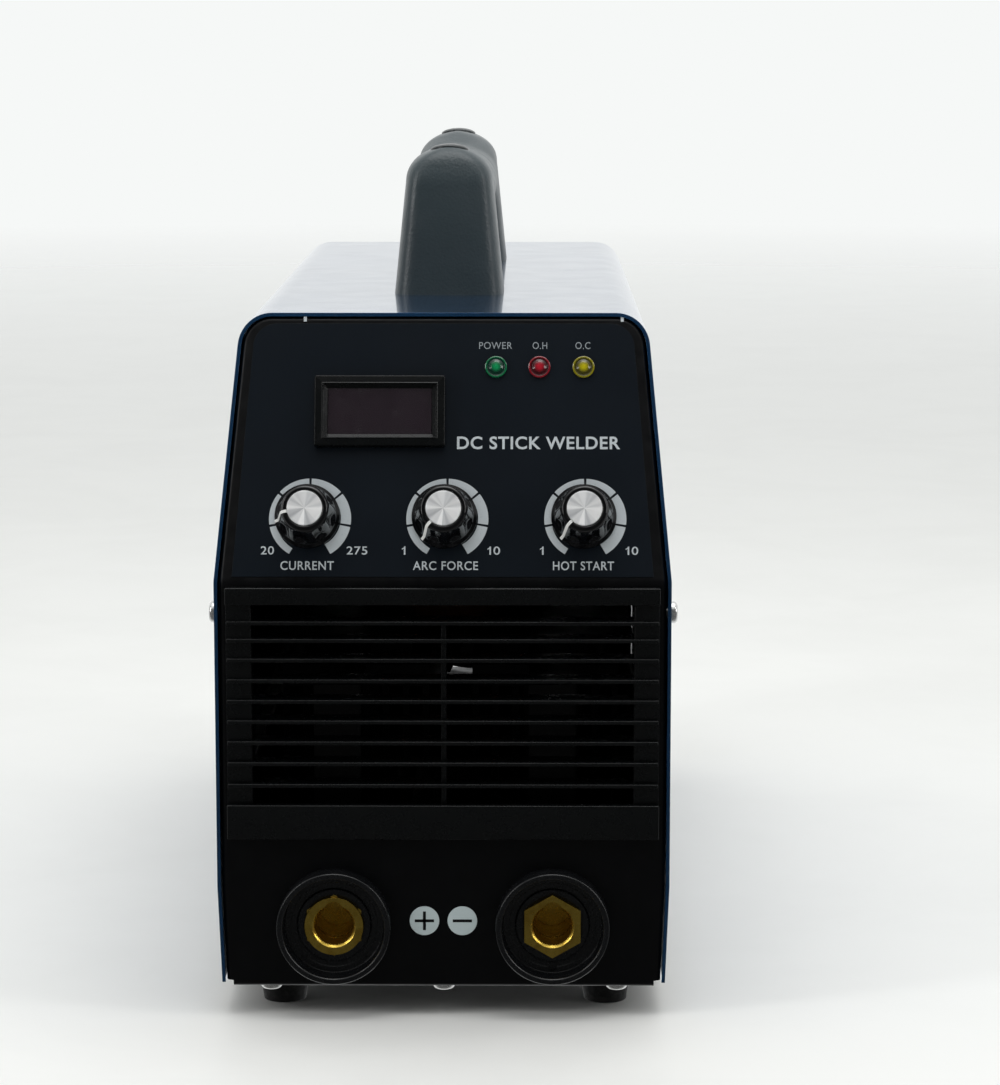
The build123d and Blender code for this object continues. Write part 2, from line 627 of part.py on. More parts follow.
def make_shaft(x):
    """Spindle of a potentiometer, from inside the can up into the knob."""
    return rod(PANEL, (x, KNOB_S), SHAFT_RADIUS, -SHAFT_IN_CAN, KNOB_HEIGHT - SHAFT_SHORT)


def make_knob(x):
    """Moulded knob: a thin skirt, a scalloped crown, a cavity over the nut and a bore for the spindle."""
    base = LABEL_THICKNESS + KNOB_CLEARANCE
    top = base + KNOB_HEIGHT - KNOB_CLEARANCE
    place = PANEL * Pos(x, KNOB_S, 0)
    outline = make_face(Polyline(
        (0, base), (KNOB_SKIRT_RADIUS, base), (KNOB_SKIRT_RADIUS, base + KNOB_SKIRT_EDGE),
        (KNOB_CROWN_RADIUS, base + KNOB_SKIRT_HEIGHT), (KNOB_TOP_RADIUS, top - KNOB_TOP_CHAMFER),
        (KNOB_TOP_RADIUS - KNOB_TOP_CHAMFER, top), (0, top), close=True))
    body = revolve(Plane.XZ * outline, Axis.Z)
    scallop_at = KNOB_CROWN_RADIUS + KNOB_SCALLOP_RADIUS - KNOB_SCALLOP_DEPTH
    lean = Rot(0, -degrees(atan2(KNOB_CROWN_RADIUS - KNOB_TOP_RADIUS, KNOB_HEIGHT)), 0)
    for index in range(KNOB_SCALLOPS):
        turn = Rot(0, 0, (index + 0.5) * 360 / KNOB_SCALLOPS)
        body -= turn * Pos(scallop_at, 0, base + KNOB_SKIRT_HEIGHT) * lean * Cylinder(
            KNOB_SCALLOP_RADIUS, KNOB_HEIGHT * 2, align=RISE)
    cavity = Cylinder(KNOB_CAVITY_RADIUS, KNOB_CAVITY_DEPTH + OVERSHOOT, align=RISE)
    body -= Pos(0, 0, base - OVERSHOOT) * cavity
    body -= Pos(0, 0, base) * Cylinder(SHAFT_RADIUS, KNOB_HEIGHT - SHAFT_SHORT - base, align=RISE)
    seat = top - KNOB_CAP_THICKNESS + KNOB_CAP_PROUD
    body -= Pos(0, 0, seat) * Cylinder(KNOB_CAP_RADIUS, KNOB_CAP_THICKNESS + OVERSHOOT, align=RISE)
    return place * body


def make_knob_cap(x):
    """Spun aluminium disc let into the top of a knob."""
    top = LABEL_THICKNESS + KNOB_HEIGHT + KNOB_CAP_PROUD
    disc = rod(PANEL, (x, KNOB_S), KNOB_CAP_RADIUS, top - KNOB_CAP_THICKNESS, top)
    rim = disc.edges().filter_by(lambda edge: height_on_panel(edge.center()) > top - KNOB_CAP_CHAMFER)
    return chamfer(rim, KNOB_CAP_CHAMFER)


# ---- grille ----
def grille_spigot(clearance, y_range):
    """Rectangular plug of the grille that goes through the panel, grown by a clearance."""
    half = GRILLE_WINDOW_WIDTH / 2 + SPIGOT_WALL + clearance
    low = GRILLE_BOTTOM + GRILLE_BOTTOM_BAR - SPIGOT_WALL - clearance
    high = GRILLE_TOP - GRILLE_TOP_BAR + SPIGOT_WALL + clearance
    return block((-half, half), y_range, (low, high))


def make_grille():
    """Moulded outlet grille: a face plate, two bars, level ribs and one mullion behind them."""
    face = PANEL_RECESS
    half = GRILLE_WIDTH / 2
    window = (-GRILLE_WINDOW_WIDTH / 2, GRILLE_WINDOW_WIDTH / 2)
    window_z = (GRILLE_BOTTOM + GRILLE_BOTTOM_BAR, GRILLE_TOP - GRILLE_TOP_BAR)
    back = face + RIB_DEPTH - GRILLE_PROUD
    grille = block((-half, half), (face - GRILLE_PLATE, face), (GRILLE_BOTTOM, GRILLE_TOP))
    grille += grille_spigot(0, (face - OVERLAP, back))
    grille -= block(window, (-2 * THROUGH, 2 * THROUGH), window_z)
    for low, high in ((GRILLE_BOTTOM, window_z[0]), (window_z[1], GRILLE_TOP)):
        bar = block((-half, half), (face - GRILLE_PROUD, face), (low, high))
        front = bar.faces().sort_by(Axis.Y)[0].edges()
        grille += chamfer(front, BAR_CHAMFER)
    levels = [window_z[1] - share * (window_z[1] - window_z[0]) for share in RIB_SHARES]
    for level in levels:
        rib_z = (level - RIB_THICKNESS / 2, level + RIB_THICKNESS / 2)
        rib_x = (-half + RIB_END_INSET, half - RIB_END_INSET)
        grille += block(rib_x, (face - GRILLE_PROUD + RIB_SET_BACK, face), rib_z)
        grille += block(window, (face - OVERLAP, back), rib_z)
    mullion = (MULLION_X - MULLION_WIDTH / 2, MULLION_X + MULLION_WIDTH / 2)
    return grille + block(mullion, (face - OVERLAP, back), (window_z[0], levels[0]))


# ---- output sockets ----
def make_socket(x, hex_insert):
    """Insulating socket body: a cup that stands proud of the panel and a neck that goes through it."""
    place = (x, SOCKET_Z)
    body = rod(LOW_FRONT, place, SOCKET_RIM_RADIUS, 0, SOCKET_PROUD)
    front = body.edges().sort_by(Axis.Y)[0]
    body = fillet(front, SOCKET_RIM_FILLET)
    body += rod(LOW_FRONT, place, SOCKET_NECK_RADIUS, -SOCKET_NECK_LENGTH, 0)
    floor = SOCKET_PROUD - SOCKET_CUP_DEPTH
    body -= rod(LOW_FRONT, place, SOCKET_CUP_RADIUS, floor, SOCKET_PROUD + OVERSHOOT)
    body += rod(LOW_FRONT, place, SOCKET_RING_RADIUS, floor - OVERLAP, floor + SOCKET_RING_PROUD)
    return body - insert_blank(x, hex_insert)


def insert_blank(x, hex_insert):
    """Outside shape of a brass insert: its head, its barrel and nothing of its bore."""
    place = (x, SOCKET_Z)
    head_top = SOCKET_PROUD - INSERT_SINK
    head_low = head_top - INSERT_HEAD_LENGTH
    head = hexagon(LOW_FRONT, place, INSERT_HEX_ACROSS, head_low, head_top)
    if not hex_insert:
        across = INSERT_HEX_ACROSS - INSERT_STEP
        head = hexagon(LOW_FRONT, place, across, head_low, head_top - INSERT_HEX_DROP)
        head += rod(LOW_FRONT, place, INSERT_ROUND_RADIUS, head_low, head_top)
    return head + rod(LOW_FRONT, place, INSERT_HEX_ACROSS / 2 - INSERT_STEP, STUD_ROOT, head_low)


def make_insert(x, hex_insert):
    """Brass socket insert: a blind keyed bore with a lock groove, and a stud behind for the strap."""
    place = (x, SOCKET_Z)
    mouth = SOCKET_PROUD - INSERT_SINK
    bottom = mouth - INSERT_BORE_LENGTH
    brass = insert_blank(x, hex_insert)
    brass -= rod(LOW_FRONT, place, INSERT_BORE_RADIUS, bottom, mouth + OVERSHOOT)
    wide = INSERT_BORE_RADIUS + INSERT_MOUTH_CHAMFER
    cone = Cone(INSERT_BORE_RADIUS, wide, INSERT_MOUTH_CHAMFER, align=SINK)
    brass -= LOW_FRONT * Pos(place[0], place[1], mouth) * cone
    key = (x, SOCKET_Z + KEYWAY_OFFSET)
    brass -= rod(LOW_FRONT, key, KEYWAY_RADIUS, bottom, mouth + OVERSHOOT)
    groove = mouth - LOCK_GROOVE_DEPTH
    brass -= rod(LOW_FRONT, place, LOCK_GROOVE_RADIUS, groove - LOCK_GROOVE_WIDTH, groove)
    return brass + rod(LOW_FRONT, place, STUD_RADIUS, STUD_ROOT - STUD_LENGTH, STUD_ROOT)


def make_clamp_ring(x):
    """Ring nut behind the panel that holds a socket body."""
    low = -SHEET - CLAMP_RING_THICKNESS
    ring = rod(LOW_FRONT, (x, SOCKET_Z), CLAMP_RING_RADIUS, low, -SHEET)
    return ring - rod(LOW_FRONT, (x, SOCKET_Z), SOCKET_NECK_RADIUS, low - OVERSHOOT, 0)


def make_socket_nut(x):
    """Nut that clamps the copper strap on a socket stud."""
    top = STUD_ROOT - STRAP_THICKNESS
    nut = hexagon(LOW_FRONT, (x, SOCKET_Z), STUD_NUT_ACROSS, top - STUD_NUT_THICKNESS, top)
    return nut - rod(LOW_FRONT, (x, SOCKET_Z), STUD_RADIUS, top - THROUGH, top + OVERSHOOT)


def make_strap(x):
    """Sleeved copper strap from a socket stud up and back to the underside of the main board."""
    y = PANEL_RECESS - STUD_ROOT
    across = (x - STRAP_WIDTH / 2, x + STRAP_WIDTH / 2)
    top = MAIN_BOARD_Z
    strap = block(across, (y, y + STRAP_THICKNESS), (SOCKET_Z - STRAP_WIDTH / 2, top))
    strap += block(across, (y, MAIN_BOARD_Y + STRAP_OVER_BOARD), (top - STRAP_THICKNESS, top))
    return strap - rod(LOW_FRONT, (x, SOCKET_Z), STUD_RADIUS, STUD_ROOT - THROUGH, STUD_ROOT + OVERSHOOT)


def make_polarity_label(x):
    """Round printed polarity label on the lower panel."""
    return rod(LOW_FRONT, (x, POLARITY_Z), POLARITY_DISC_RADIUS, 0, LABEL_THICKNESS)


# ---- handle ----
def make_handle():
    """Moulded handle: two legs and a dipped grip, narrowing upwards, with wells for its screws."""
    end = HANDLE_LENGTH
    crest = HANDLE_HEIGHT
    dip = (HANDLE_LEG + HANDLE_DIP_RUN, crest - HANDLE_DIP)
    shoulder = (HANDLE_SHOULDER_LEAN, crest - HANDLE_SHOULDER_DROP)
    front_crest = (HANDLE_CREST_LEAN, crest)
    back_crest = (HANDLE_LEG_CREST, crest)
    gap = (HANDLE_LEG + HANDLE_GAP_LEAN, HAND_GAP_HEIGHT)
    outer = [(0, 0), shoulder, front_crest, back_crest, dip]
    inner = [(HANDLE_LEG, 0), gap]
    mirrored = [(end - y, z) for y, z in reversed(outer)]
    gap_back = [(end - y, z) for y, z in inner]
    side = make_face(Polyline(*outer, *mirrored, *gap_back, *reversed(inner), close=True))
    bends = [(front_crest, HANDLE_CREST_BEND), (shoulder, HANDLE_SHOULDER_BEND)]
    bends += [(corner, HANDLE_GRIP_BEND) for corner in (back_crest, dip, gap)]
    for corner, radius in bends:
        side = fillet(matching_corners(side, corner), radius)
    half = HANDLE_BASE_WIDTH / 2
    grip = HANDLE_GRIP_WIDTH / 2
    crown_height = crest + HANDLE_CROWN_SPARE - HANDLE_SHOULDER
    crown = EllipticalCenterArc((0, HANDLE_SHOULDER), grip, crown_height, 0, arc_size=180)
    legs = Polyline((-grip, HANDLE_SHOULDER), (-half, 0), (half, 0), (grip, HANDLE_SHOULDER))
    front = make_face(crown + legs)
    body = Pos(0, HANDLE_START, CASE_TOP) * (Plane.YZ * extrude(side, half + OVERSHOOT, both=True))
    across = Plane(origin=(0, HANDLE_START - OVERSHOOT, CASE_TOP), x_dir=(1, 0, 0), z_dir=(0, -1, 0))
    body = body & (across * extrude(front, -end - 2 * OVERSHOOT))
    body = fillet(handle_edges(body), HANDLE_EDGE_RADIUS)
    for _, y in HANDLE_SCREWS:
        bore = M5_RADIUS + SCREW_HOLE_CLEARANCE
        body -= Pos(0, y, CASE_TOP) * Cylinder(bore, crest + OVERSHOOT, align=RISE)
        body -= Pos(0, y, CASE_TOP + HANDLE_SEAT) * Cylinder(HANDLE_WELL_RADIUS, crest, align=RISE)
    return body


def matching_corners(outline, corner):
    """The corner of the handle's side outline at a place, and its mirror at the other end."""
    y, z = corner
    level = [point for point in outline.vertices() if abs(point.Y - z) < 0.01]
    return [point for point in level if min(abs(point.X - y), abs(point.X - HANDLE_LENGTH + y)) < 0.01]


def handle_edges(body):
    """Every edge above the base and off the centre line, all of which are rounded."""
    return [edge for edge in body.edges() if edge.center().Z > CASE_TOP + 1 and abs(edge.center().X) > 4]


def make_handle_cap(place):
    """Plug cap over a handle screw: a low dome on a stem in the well."""
    top = CASE_TOP + HANDLE_HEIGHT
    stem = Pos(0, place[1], top - HANDLE_CAP_STEM) * Cylinder(HANDLE_WELL_RADIUS, HANDLE_CAP_STEM, align=RISE)
    lid = Pos(0, place[1], top) * Cylinder(HANDLE_CAP_RADIUS, HANDLE_CAP_PROUD, align=RISE)
    lid = fillet(lid.edges().sort_by(Axis.Z)[-1], HANDLE_CAP_PROUD * 0.7)
    return stem + lid


def make_handle_screw(place):
    """Long screw from the well in the handle down through the cover."""
    length = HANDLE_SEAT + SHEET + M5_NUT_THICKNESS + M5_SPARE_THREAD
    top = Plane.XY.offset(CASE_TOP)
    return pan_screw(top, place, M5_RADIUS, M5_HEAD_RADIUS, M5_HEAD_HEIGHT, length, seat=HANDLE_SEAT)


def m5_nut(plane, place, seat):
    """Nut whose outer face is at the seat and which lies behind it."""
    nut = hexagon(plane, place, M5_NUT_ACROSS, seat - M5_NUT_THICKNESS, seat)
    return nut - rod(plane, place, M5_RADIUS, seat - THROUGH, seat + OVERSHOOT)


def make_m5_nuts():
    """Nuts of the handle screws under the cover and of the foot screws on the tray."""
    nuts = [m5_nut(Plane.XY.offset(CASE_TOP), place, -SHEET) for place in HANDLE_SCREWS]
    nuts += [m5_nut(UNDERSIDE, place, -2 * SHEET) for place in FEET]
    return nuts


# ---- feet and case screws ----
def make_foot(place):
    """Tapered rubber foot with a stepped hole for its screw."""
    cone = Cone(FOOT_RADIUS, FOOT_RADIUS - FOOT_TAPER, FOOT_HEIGHT, align=RISE)
    foot = UNDERSIDE * Pos(place[0], place[1], 0) * cone
    foot -= rod(UNDERSIDE, place, M5_RADIUS, -OVERSHOOT, FOOT_HEIGHT + OVERSHOOT)
    well = M5_HEAD_RADIUS + FOOT_WELL_CLEARANCE
    return foot - rod(UNDERSIDE, place, well, FOOT_HEIGHT - FOOT_WELL_DEPTH, FOOT_HEIGHT + OVERSHOOT)


def make_foot_screw(place):
    """Screw up through a foot into its nut on the tray."""
    seat = FOOT_HEIGHT - FOOT_WELL_DEPTH
    head = (M5_HEAD_RADIUS, M5_HEAD_HEIGHT)
    return pan_screw(UNDERSIDE, place, M5_RADIUS, *head, FOOT_SCREW_LENGTH, seat=seat)


def m4_screw(plane, place, length, seat=0.0):
    """M4 pan-head screw with its head on a plane, or on a seat above it."""
    return pan_screw(plane, place, M4_RADIUS, M4_HEAD_RADIUS, M4_HEAD_HEIGHT, length, seat=seat)


def make_cover_screws():
    """Pan-head screws through the cover's sides into the pans and the tray."""
    return [m4_screw(side_plane(side), place, M4_LENGTH) for side in (-1, 1) for place in side_places(side)]


def make_base_screws():
    """Pan-head screws up through the pans' bottom flanges into the tray."""
    return [m4_screw(UNDERSIDE, place, M4_LENGTH) for place in BASE_SCREWS]


# ---- fan ----
def fan_screw_places():
    """Corner screw centres on the rear plane."""
    half = FAN_SCREW_SPACING / 2
    return [(x, FAN_Z + z) for x in (-half, half) for z in (-half, half)]


def make_fan_frame():
    """Square fan frame with a round duct, four struts and a motor boss that carries the axle."""
    place = (0, FAN_Z)
    near = -SHEET
    far = near - FAN_DEPTH
    frame = plate(REAR, place, (FAN_SIZE, FAN_SIZE), far, near)
    frame = fillet(frame.edges().filter_by(Axis.Y), FAN_CORNER_RADIUS)
    frame -= rod(REAR, place, FAN_DUCT_RADIUS, far - OVERSHOOT, near + OVERSHOOT)
    for turn in (45, 135):
        strut = Box(2 * FAN_DUCT_RADIUS + 2 * OVERLAP, *FAN_STRUT, align=RISE)
        frame += REAR * Pos(0, FAN_Z, far) * Rot(0, 0, turn) * strut
    frame += rod(REAR, place, FAN_HUB_RADIUS - OVERSHOOT, far, far + FAN_BOSS_THICKNESS)
    frame -= rod(REAR, place, FAN_AXLE_RADIUS + RUNNING_CLEARANCE, far - OVERSHOOT, far + THROUGH)
    for screw in fan_screw_places():
        frame -= rod(REAR, screw, M4_RADIUS, far - OVERSHOOT, near + OVERSHOOT)
    return frame


def make_fan_rotor():
    """Fan wheel: a hub cup with an axle and pitched blades."""
    place = (0, FAN_Z)
    low = -SHEET - FAN_DEPTH + FAN_FRONT_GAP
    high = -SHEET - FAN_REAR_GAP
    sweep = rod(REAR, place, FAN_BLADE_RADIUS, low, high)
    rotor = rod(REAR, place, FAN_HUB_RADIUS, low, high)
    rotor += rod(REAR, place, FAN_AXLE_RADIUS, low - FAN_AXLE_LENGTH, low)
    blade = Box(FAN_BLADE_RADIUS, FAN_BLADE_CHORD, FAN_BLADE_THICKNESS,
                align=(Align.MIN, Align.CENTER, Align.CENTER))
    blade = Pos(FAN_HUB_RADIUS - OVERSHOOT, 0, 0) * Rot(FAN_BLADE_PITCH, 0, 0) * blade
    for index in range(FAN_BLADES):
        turn = REAR * Pos(0, FAN_Z, (low + high) / 2) * Rot(0, 0, index * 360 / FAN_BLADES)
        rotor += (turn * blade) & sweep
    return rotor


def make_fan_guard():
    """Wire finger guard on the rear: rings on two crossed wires with eyes at the four screws."""
    wire = Rot(0, 90, 0) * Cylinder(GUARD_WIRE_RADIUS, FAN_SCREW_SPACING * 2 ** 0.5)
    guard = REAR * Pos(0, FAN_Z, GUARD_WIRE_LEVEL) * Rot(0, 0, 45) * wire
    guard += REAR * Pos(0, FAN_Z, GUARD_WIRE_LEVEL) * Rot(0, 0, 135) * wire
    for radius in GUARD_RINGS:
        guard += REAR * Pos(0, FAN_Z, GUARD_RING_LEVEL) * Torus(radius, GUARD_WIRE_RADIUS)
    for place in fan_screw_places():
        guard += rod(REAR, place, M4_HEAD_RADIUS + GUARD_EYE_RIM, 0, GUARD_EYE_THICKNESS)
        guard -= rod(REAR, place, M4_RADIUS + SCREW_HOLE_CLEARANCE, -OVERSHOOT, THROUGH)
    return guard


def make_fan_screws():
    """Screws through the guard's eyes and the panel into the fan frame."""
    return [m4_screw(REAR, place, FAN_SCREW_LENGTH, GUARD_EYE_THICKNESS) for place in fan_screw_places()]


# ---- power switch ----
def make_switch():
    """Switch housing: a flange on the panel, a well for the rocker and the contact block behind."""
    place = (-SWITCH_X, SWITCH_Z)
    body = plate(REAR, place, SWITCH_SIZE, 0, SWITCH_FLANGE)
    front = body.faces().sort_by(Axis.Y)[-1].edges()
    body = chamfer(front, SWITCH_EDGE)
    outer = [size + 2 * SWITCH_WALL for size in SWITCH_OPENING]
    body += plate(REAR, place, outer, -SWITCH_DEPTH, 0)
    body -= plate(REAR, place, SWITCH_OPENING, -SWITCH_DEPTH / 2, SWITCH_FLANGE + OVERSHOOT)
    pin = rocker_pin(RUNNING_CLEARANCE, ROCKER_SIZE[0] / 2 + ROCKER_PIN_END + ROCKER_PIN_PLAY)
    return body - pin


def rocker_pin(clearance, half_length):
    """Cross pin of the rocker, grown by a clearance."""
    pin = Rot(0, 90, 0) * Cylinder(ROCKER_PIVOT_RADIUS + clearance, 2 * half_length)
    return REAR * Pos(-SWITCH_X, SWITCH_Z, -ROCKER_PIVOT_DEPTH) * pin


def make_rocker():
    """Rocker with two faces that meet at a shallow ridge, tipped to its off side."""
    half = ROCKER_SIZE[1] / 2
    face = SWITCH_FLANGE + ROCKER_PIVOT_DEPTH
    lift = half * tan(radians(ROCKER_TILT))
    outline = make_face(Polyline((-half, face + lift), (0, face), (half, face + lift),
                                 (half - ROCKER_TAPER, -ROCKER_FLOOR), (-half + ROCKER_TAPER, -ROCKER_FLOOR),
                                 close=True))
    side = Plane(origin=(0, 0, 0), x_dir=(0, 1, 0), z_dir=(1, 0, 0))
    body = side * extrude(outline, ROCKER_SIZE[0] / 2, both=True)
    tipped = Rot(ROCKER_TILT, 0, 0) * body
    placed = REAR * Pos(-SWITCH_X, SWITCH_Z, -ROCKER_PIVOT_DEPTH) * tipped
    return placed + rocker_pin(0, ROCKER_SIZE[0] / 2 + ROCKER_PIN_END)


# ---- cable gland and earth stud ----
def make_gland():
    """Gland body: a thread through the panel with a hexagon flange outside, bored through."""
    place = (-GLAND_X, GLAND_Z)
    body = rod(REAR, place, GLAND_THREAD_RADIUS, -GLAND_THREAD_INSIDE, GLAND_BODY_END)
    body += hexagon(REAR, place, GLAND_HEX_ACROSS, 0, GLAND_FLANGE)
    return body - rod(REAR, place, GLAND_BORE_RADIUS, -2 * THROUGH, 3 * THROUGH)


def make_gland_dome():
    """Dome nut of the gland, bored to the same size as the body."""
    place = (-GLAND_X, GLAND_Z)
    nut = hexagon(REAR, place, GLAND_HEX_ACROSS, GLAND_FLANGE + GLAND_NUT_GAP, GLAND_BODY_END)
    wide = GLAND_HEX_ACROSS / 2 - GLAND_DOME_STEP
    dome = Cone(wide, GLAND_BORE_RADIUS + GLAND_DOME_LIP, GLAND_DOME_HEIGHT, align=RISE)
    nut += REAR * Pos(*place, GLAND_BODY_END) * dome
    nut -= rod(REAR, place, GLAND_THREAD_RADIUS, 0, GLAND_BODY_END)
    return nut - rod(REAR, place, GLAND_BORE_RADIUS, 0, 3 * THROUGH)


def make_gland_nut():
    """Lock nut of the gland inside the rear panel."""
    place = (-GLAND_X, GLAND_Z)
    nut = hexagon(REAR, place, GLAND_HEX_ACROSS, -SHEET - GLAND_LOCK_NUT, -SHEET)
    return nut - rod(REAR, place, GLAND_THREAD_RADIUS, -2 * THROUGH, OVERSHOOT)


def make_earth_stud():
    """Earth bolt: its head inside the rear panel, its shank out through it."""
    place = (-EARTH_X, EARTH_Z)
    across, thick = EARTH_HEAD
    head = hexagon(REAR, place, across, -SHEET - thick, -SHEET)
    shoulder = rod(REAR, place, EARTH_SHOULDER_RADIUS, -SHEET, EARTH_NUT_TOP)
    return head + shoulder + rod(REAR, place, EARTH_RADIUS, EARTH_NUT_TOP, EARTH_PROUD)


def make_earth_nut():
    """Flange nut on the earth stud, tight on the panel."""
    place = (-EARTH_X, EARTH_Z)
    radius, thick = EARTH_FLANGE
    nut = rod(REAR, place, radius, 0, thick) + hexagon(REAR, place, EARTH_NUT_ACROSS, thick, EARTH_NUT_TOP)
    return nut - rod(REAR, place, EARTH_SHOULDER_RADIUS, -OVERSHOOT, THROUGH)


# ---- power stage ----
def make_heat_sink(x):
    """Finned extrusion with its base up and its fins hanging in the air stream."""
    across, along, _ = SINK_SIZE
    y_range = (SINK_Y, SINK_Y + along)
    sink = block((x - across / 2, x + across / 2), y_range, (SINK_TOP - SINK_BASE, SINK_TOP))
    pitch = (across - SINK_FIN_THICKNESS) / (SINK_FINS - 1)
    for index in range(SINK_FINS):
        low = x - across / 2 + index * pitch
        fin_z = (SINK_Z + SINK_FIN_GAP, SINK_TOP - SINK_BASE / 2)
        sink += block((low, low + SINK_FIN_THICKNESS), y_range, fin_z)
    for y in post_places():
        pad = ((x - POST_PAD, x + POST_PAD), (y - POST_PAD, y + POST_PAD))
        sink += block(*pad, (SINK_Z, SINK_TOP - SINK_BASE / 2))
    return sink


def post_places():
    """Distances along the case of the posts under each heat sink."""
    return (SINK_Y + POST_INSET, SINK_Y + SINK_SIZE[1] - POST_INSET)


def make_supports():
    """Insulating posts under the heat sinks and spacers between them and the main board."""
    posts = [Pos(x, y, FLOOR_TOP) * Cylinder(POST_RADIUS, SINK_Z - FLOOR_TOP, align=RISE)
             for x in (-SINK_X, SINK_X) for y in post_places()]
    spacer_x = SINK_X + SINK_SIZE[0] / 2 - SPACER_INSET
    spacer_y = (SINK_Y + SPACER_INSET, SINK_Y + SINK_SIZE[1] - SPACER_INSET)
    spacers = [Pos(x, y, SINK_TOP) * Cylinder(STANDOFF_RADIUS, STANDOFF_HEIGHT, align=RISE)
               for x in (-spacer_x, spacer_x) for y in spacer_y]
    return posts + spacers


def make_power_devices():
    """Switching transistors, output diodes and the input bridge, flat on the heat sinks."""
    across, along, tall = DEVICE_SIZE
    devices = []
    columns = [side * (-SINK_X + offset) for side in (1, -1) for offset in DEVICE_OFFSETS]
    for x in columns:
        for row in range(DEVICE_ROWS):
            y = SINK_Y + DEVICE_START + row * DEVICE_PITCH
            devices.append(block((x - across / 2, x + across / 2), (y - along / 2, y + along / 2),
                                 (SINK_TOP, SINK_TOP + tall)))
    return devices


def make_main_board():
    """Main circuit board on its spacers."""
    across, along = MAIN_BOARD_SIZE
    y_range = (MAIN_BOARD_Y, MAIN_BOARD_Y + along)
    return block((-across / 2, across / 2), y_range, (MAIN_BOARD_Z, MAIN_BOARD_TOP))


def make_capacitors():
    """Smoothing capacitors standing on the main board near the fan."""
    cans = []
    pitch = 2 * CAPACITOR_RADIUS + CAPACITOR_GAP
    for x in (-CAPACITOR_RADIUS - CAPACITOR_GAP, CAPACITOR_RADIUS + CAPACITOR_GAP):
        for row in range(2):
            y = MAIN_BOARD_Y + MAIN_BOARD_SIZE[1] - CAPACITOR_INSET - row * pitch
            can = Pos(x, y, MAIN_BOARD_TOP) * Cylinder(CAPACITOR_RADIUS, CAPACITOR_HEIGHT, align=RISE)
            cans.append(chamfer(can.edges().sort_by(Axis.Z)[-1], CAPACITOR_CHAMFER))
    return cans


def make_core():
    """Ferrite transformer core: a frame with a middle limb, its windows across the case."""
    wide, deep, tall = CORE_SIZE
    low = MAIN_BOARD_TOP
    core = block((-wide / 2, wide / 2), (CORE_Y - deep / 2, CORE_Y + deep / 2), (low, low + tall))
    for side in (-1, 1):
        near = side * CORE_MIDDLE / 2
        far = side * (wide / 2 - CORE_LIMB / 2 - CORE_WINDOW_STEP)
        core -= block((min(near, far), max(near, far)), (CORE_Y - deep, CORE_Y + deep),
                      (low + CORE_LIMB, low + tall - CORE_LIMB))
    return core


def make_winding():
    """Transformer winding wrapped round the core's middle limb."""
    wide, deep, tall = CORE_SIZE
    low = MAIN_BOARD_TOP + CORE_LIMB
    reach = wide / 2 - CORE_LIMB / 2 - CORE_WINDOW_STEP - WINDING_SIDE_GAP
    limb_y = (CORE_Y - deep / 2, CORE_Y + deep / 2)
    coil_y = (limb_y[0] - WINDING_REACH, limb_y[1] + WINDING_REACH)
    outer = block((-reach, reach), coil_y, (low, low + tall - 2 * CORE_LIMB))
    outer = fillet(outer.edges().filter_by(Axis.Z), WINDING_CORNER)
    return outer - block((-CORE_MIDDLE / 2, CORE_MIDDLE / 2), limb_y, (0, CASE_TOP))


def make_choke():
    """Toroidal output choke standing on the main board behind the control panel."""
    middle = Pos(0, MAIN_BOARD_Y + CHOKE_INSET, MAIN_BOARD_TOP + CHOKE_RADIUS + CHOKE_WIRE_RADIUS)
    return middle * Rot(90, 0, 0) * Torus(CHOKE_RADIUS, CHOKE_WIRE_RADIUS)


# ---- the whole object, one entry for each node ----
def group(solids):
    """Several separate solids kept in one node."""
    return Compound(children=list(solids))


SIDES = {"negative": SOCKET_X, "positive": -SOCKET_X}
KNOBS = dict(zip(("current", "arc_force", "hot_start"), KNOB_X))
LEDS = dict(zip(("power_lamp", "overheat_lamp", "overcurrent_lamp"), LED_X))

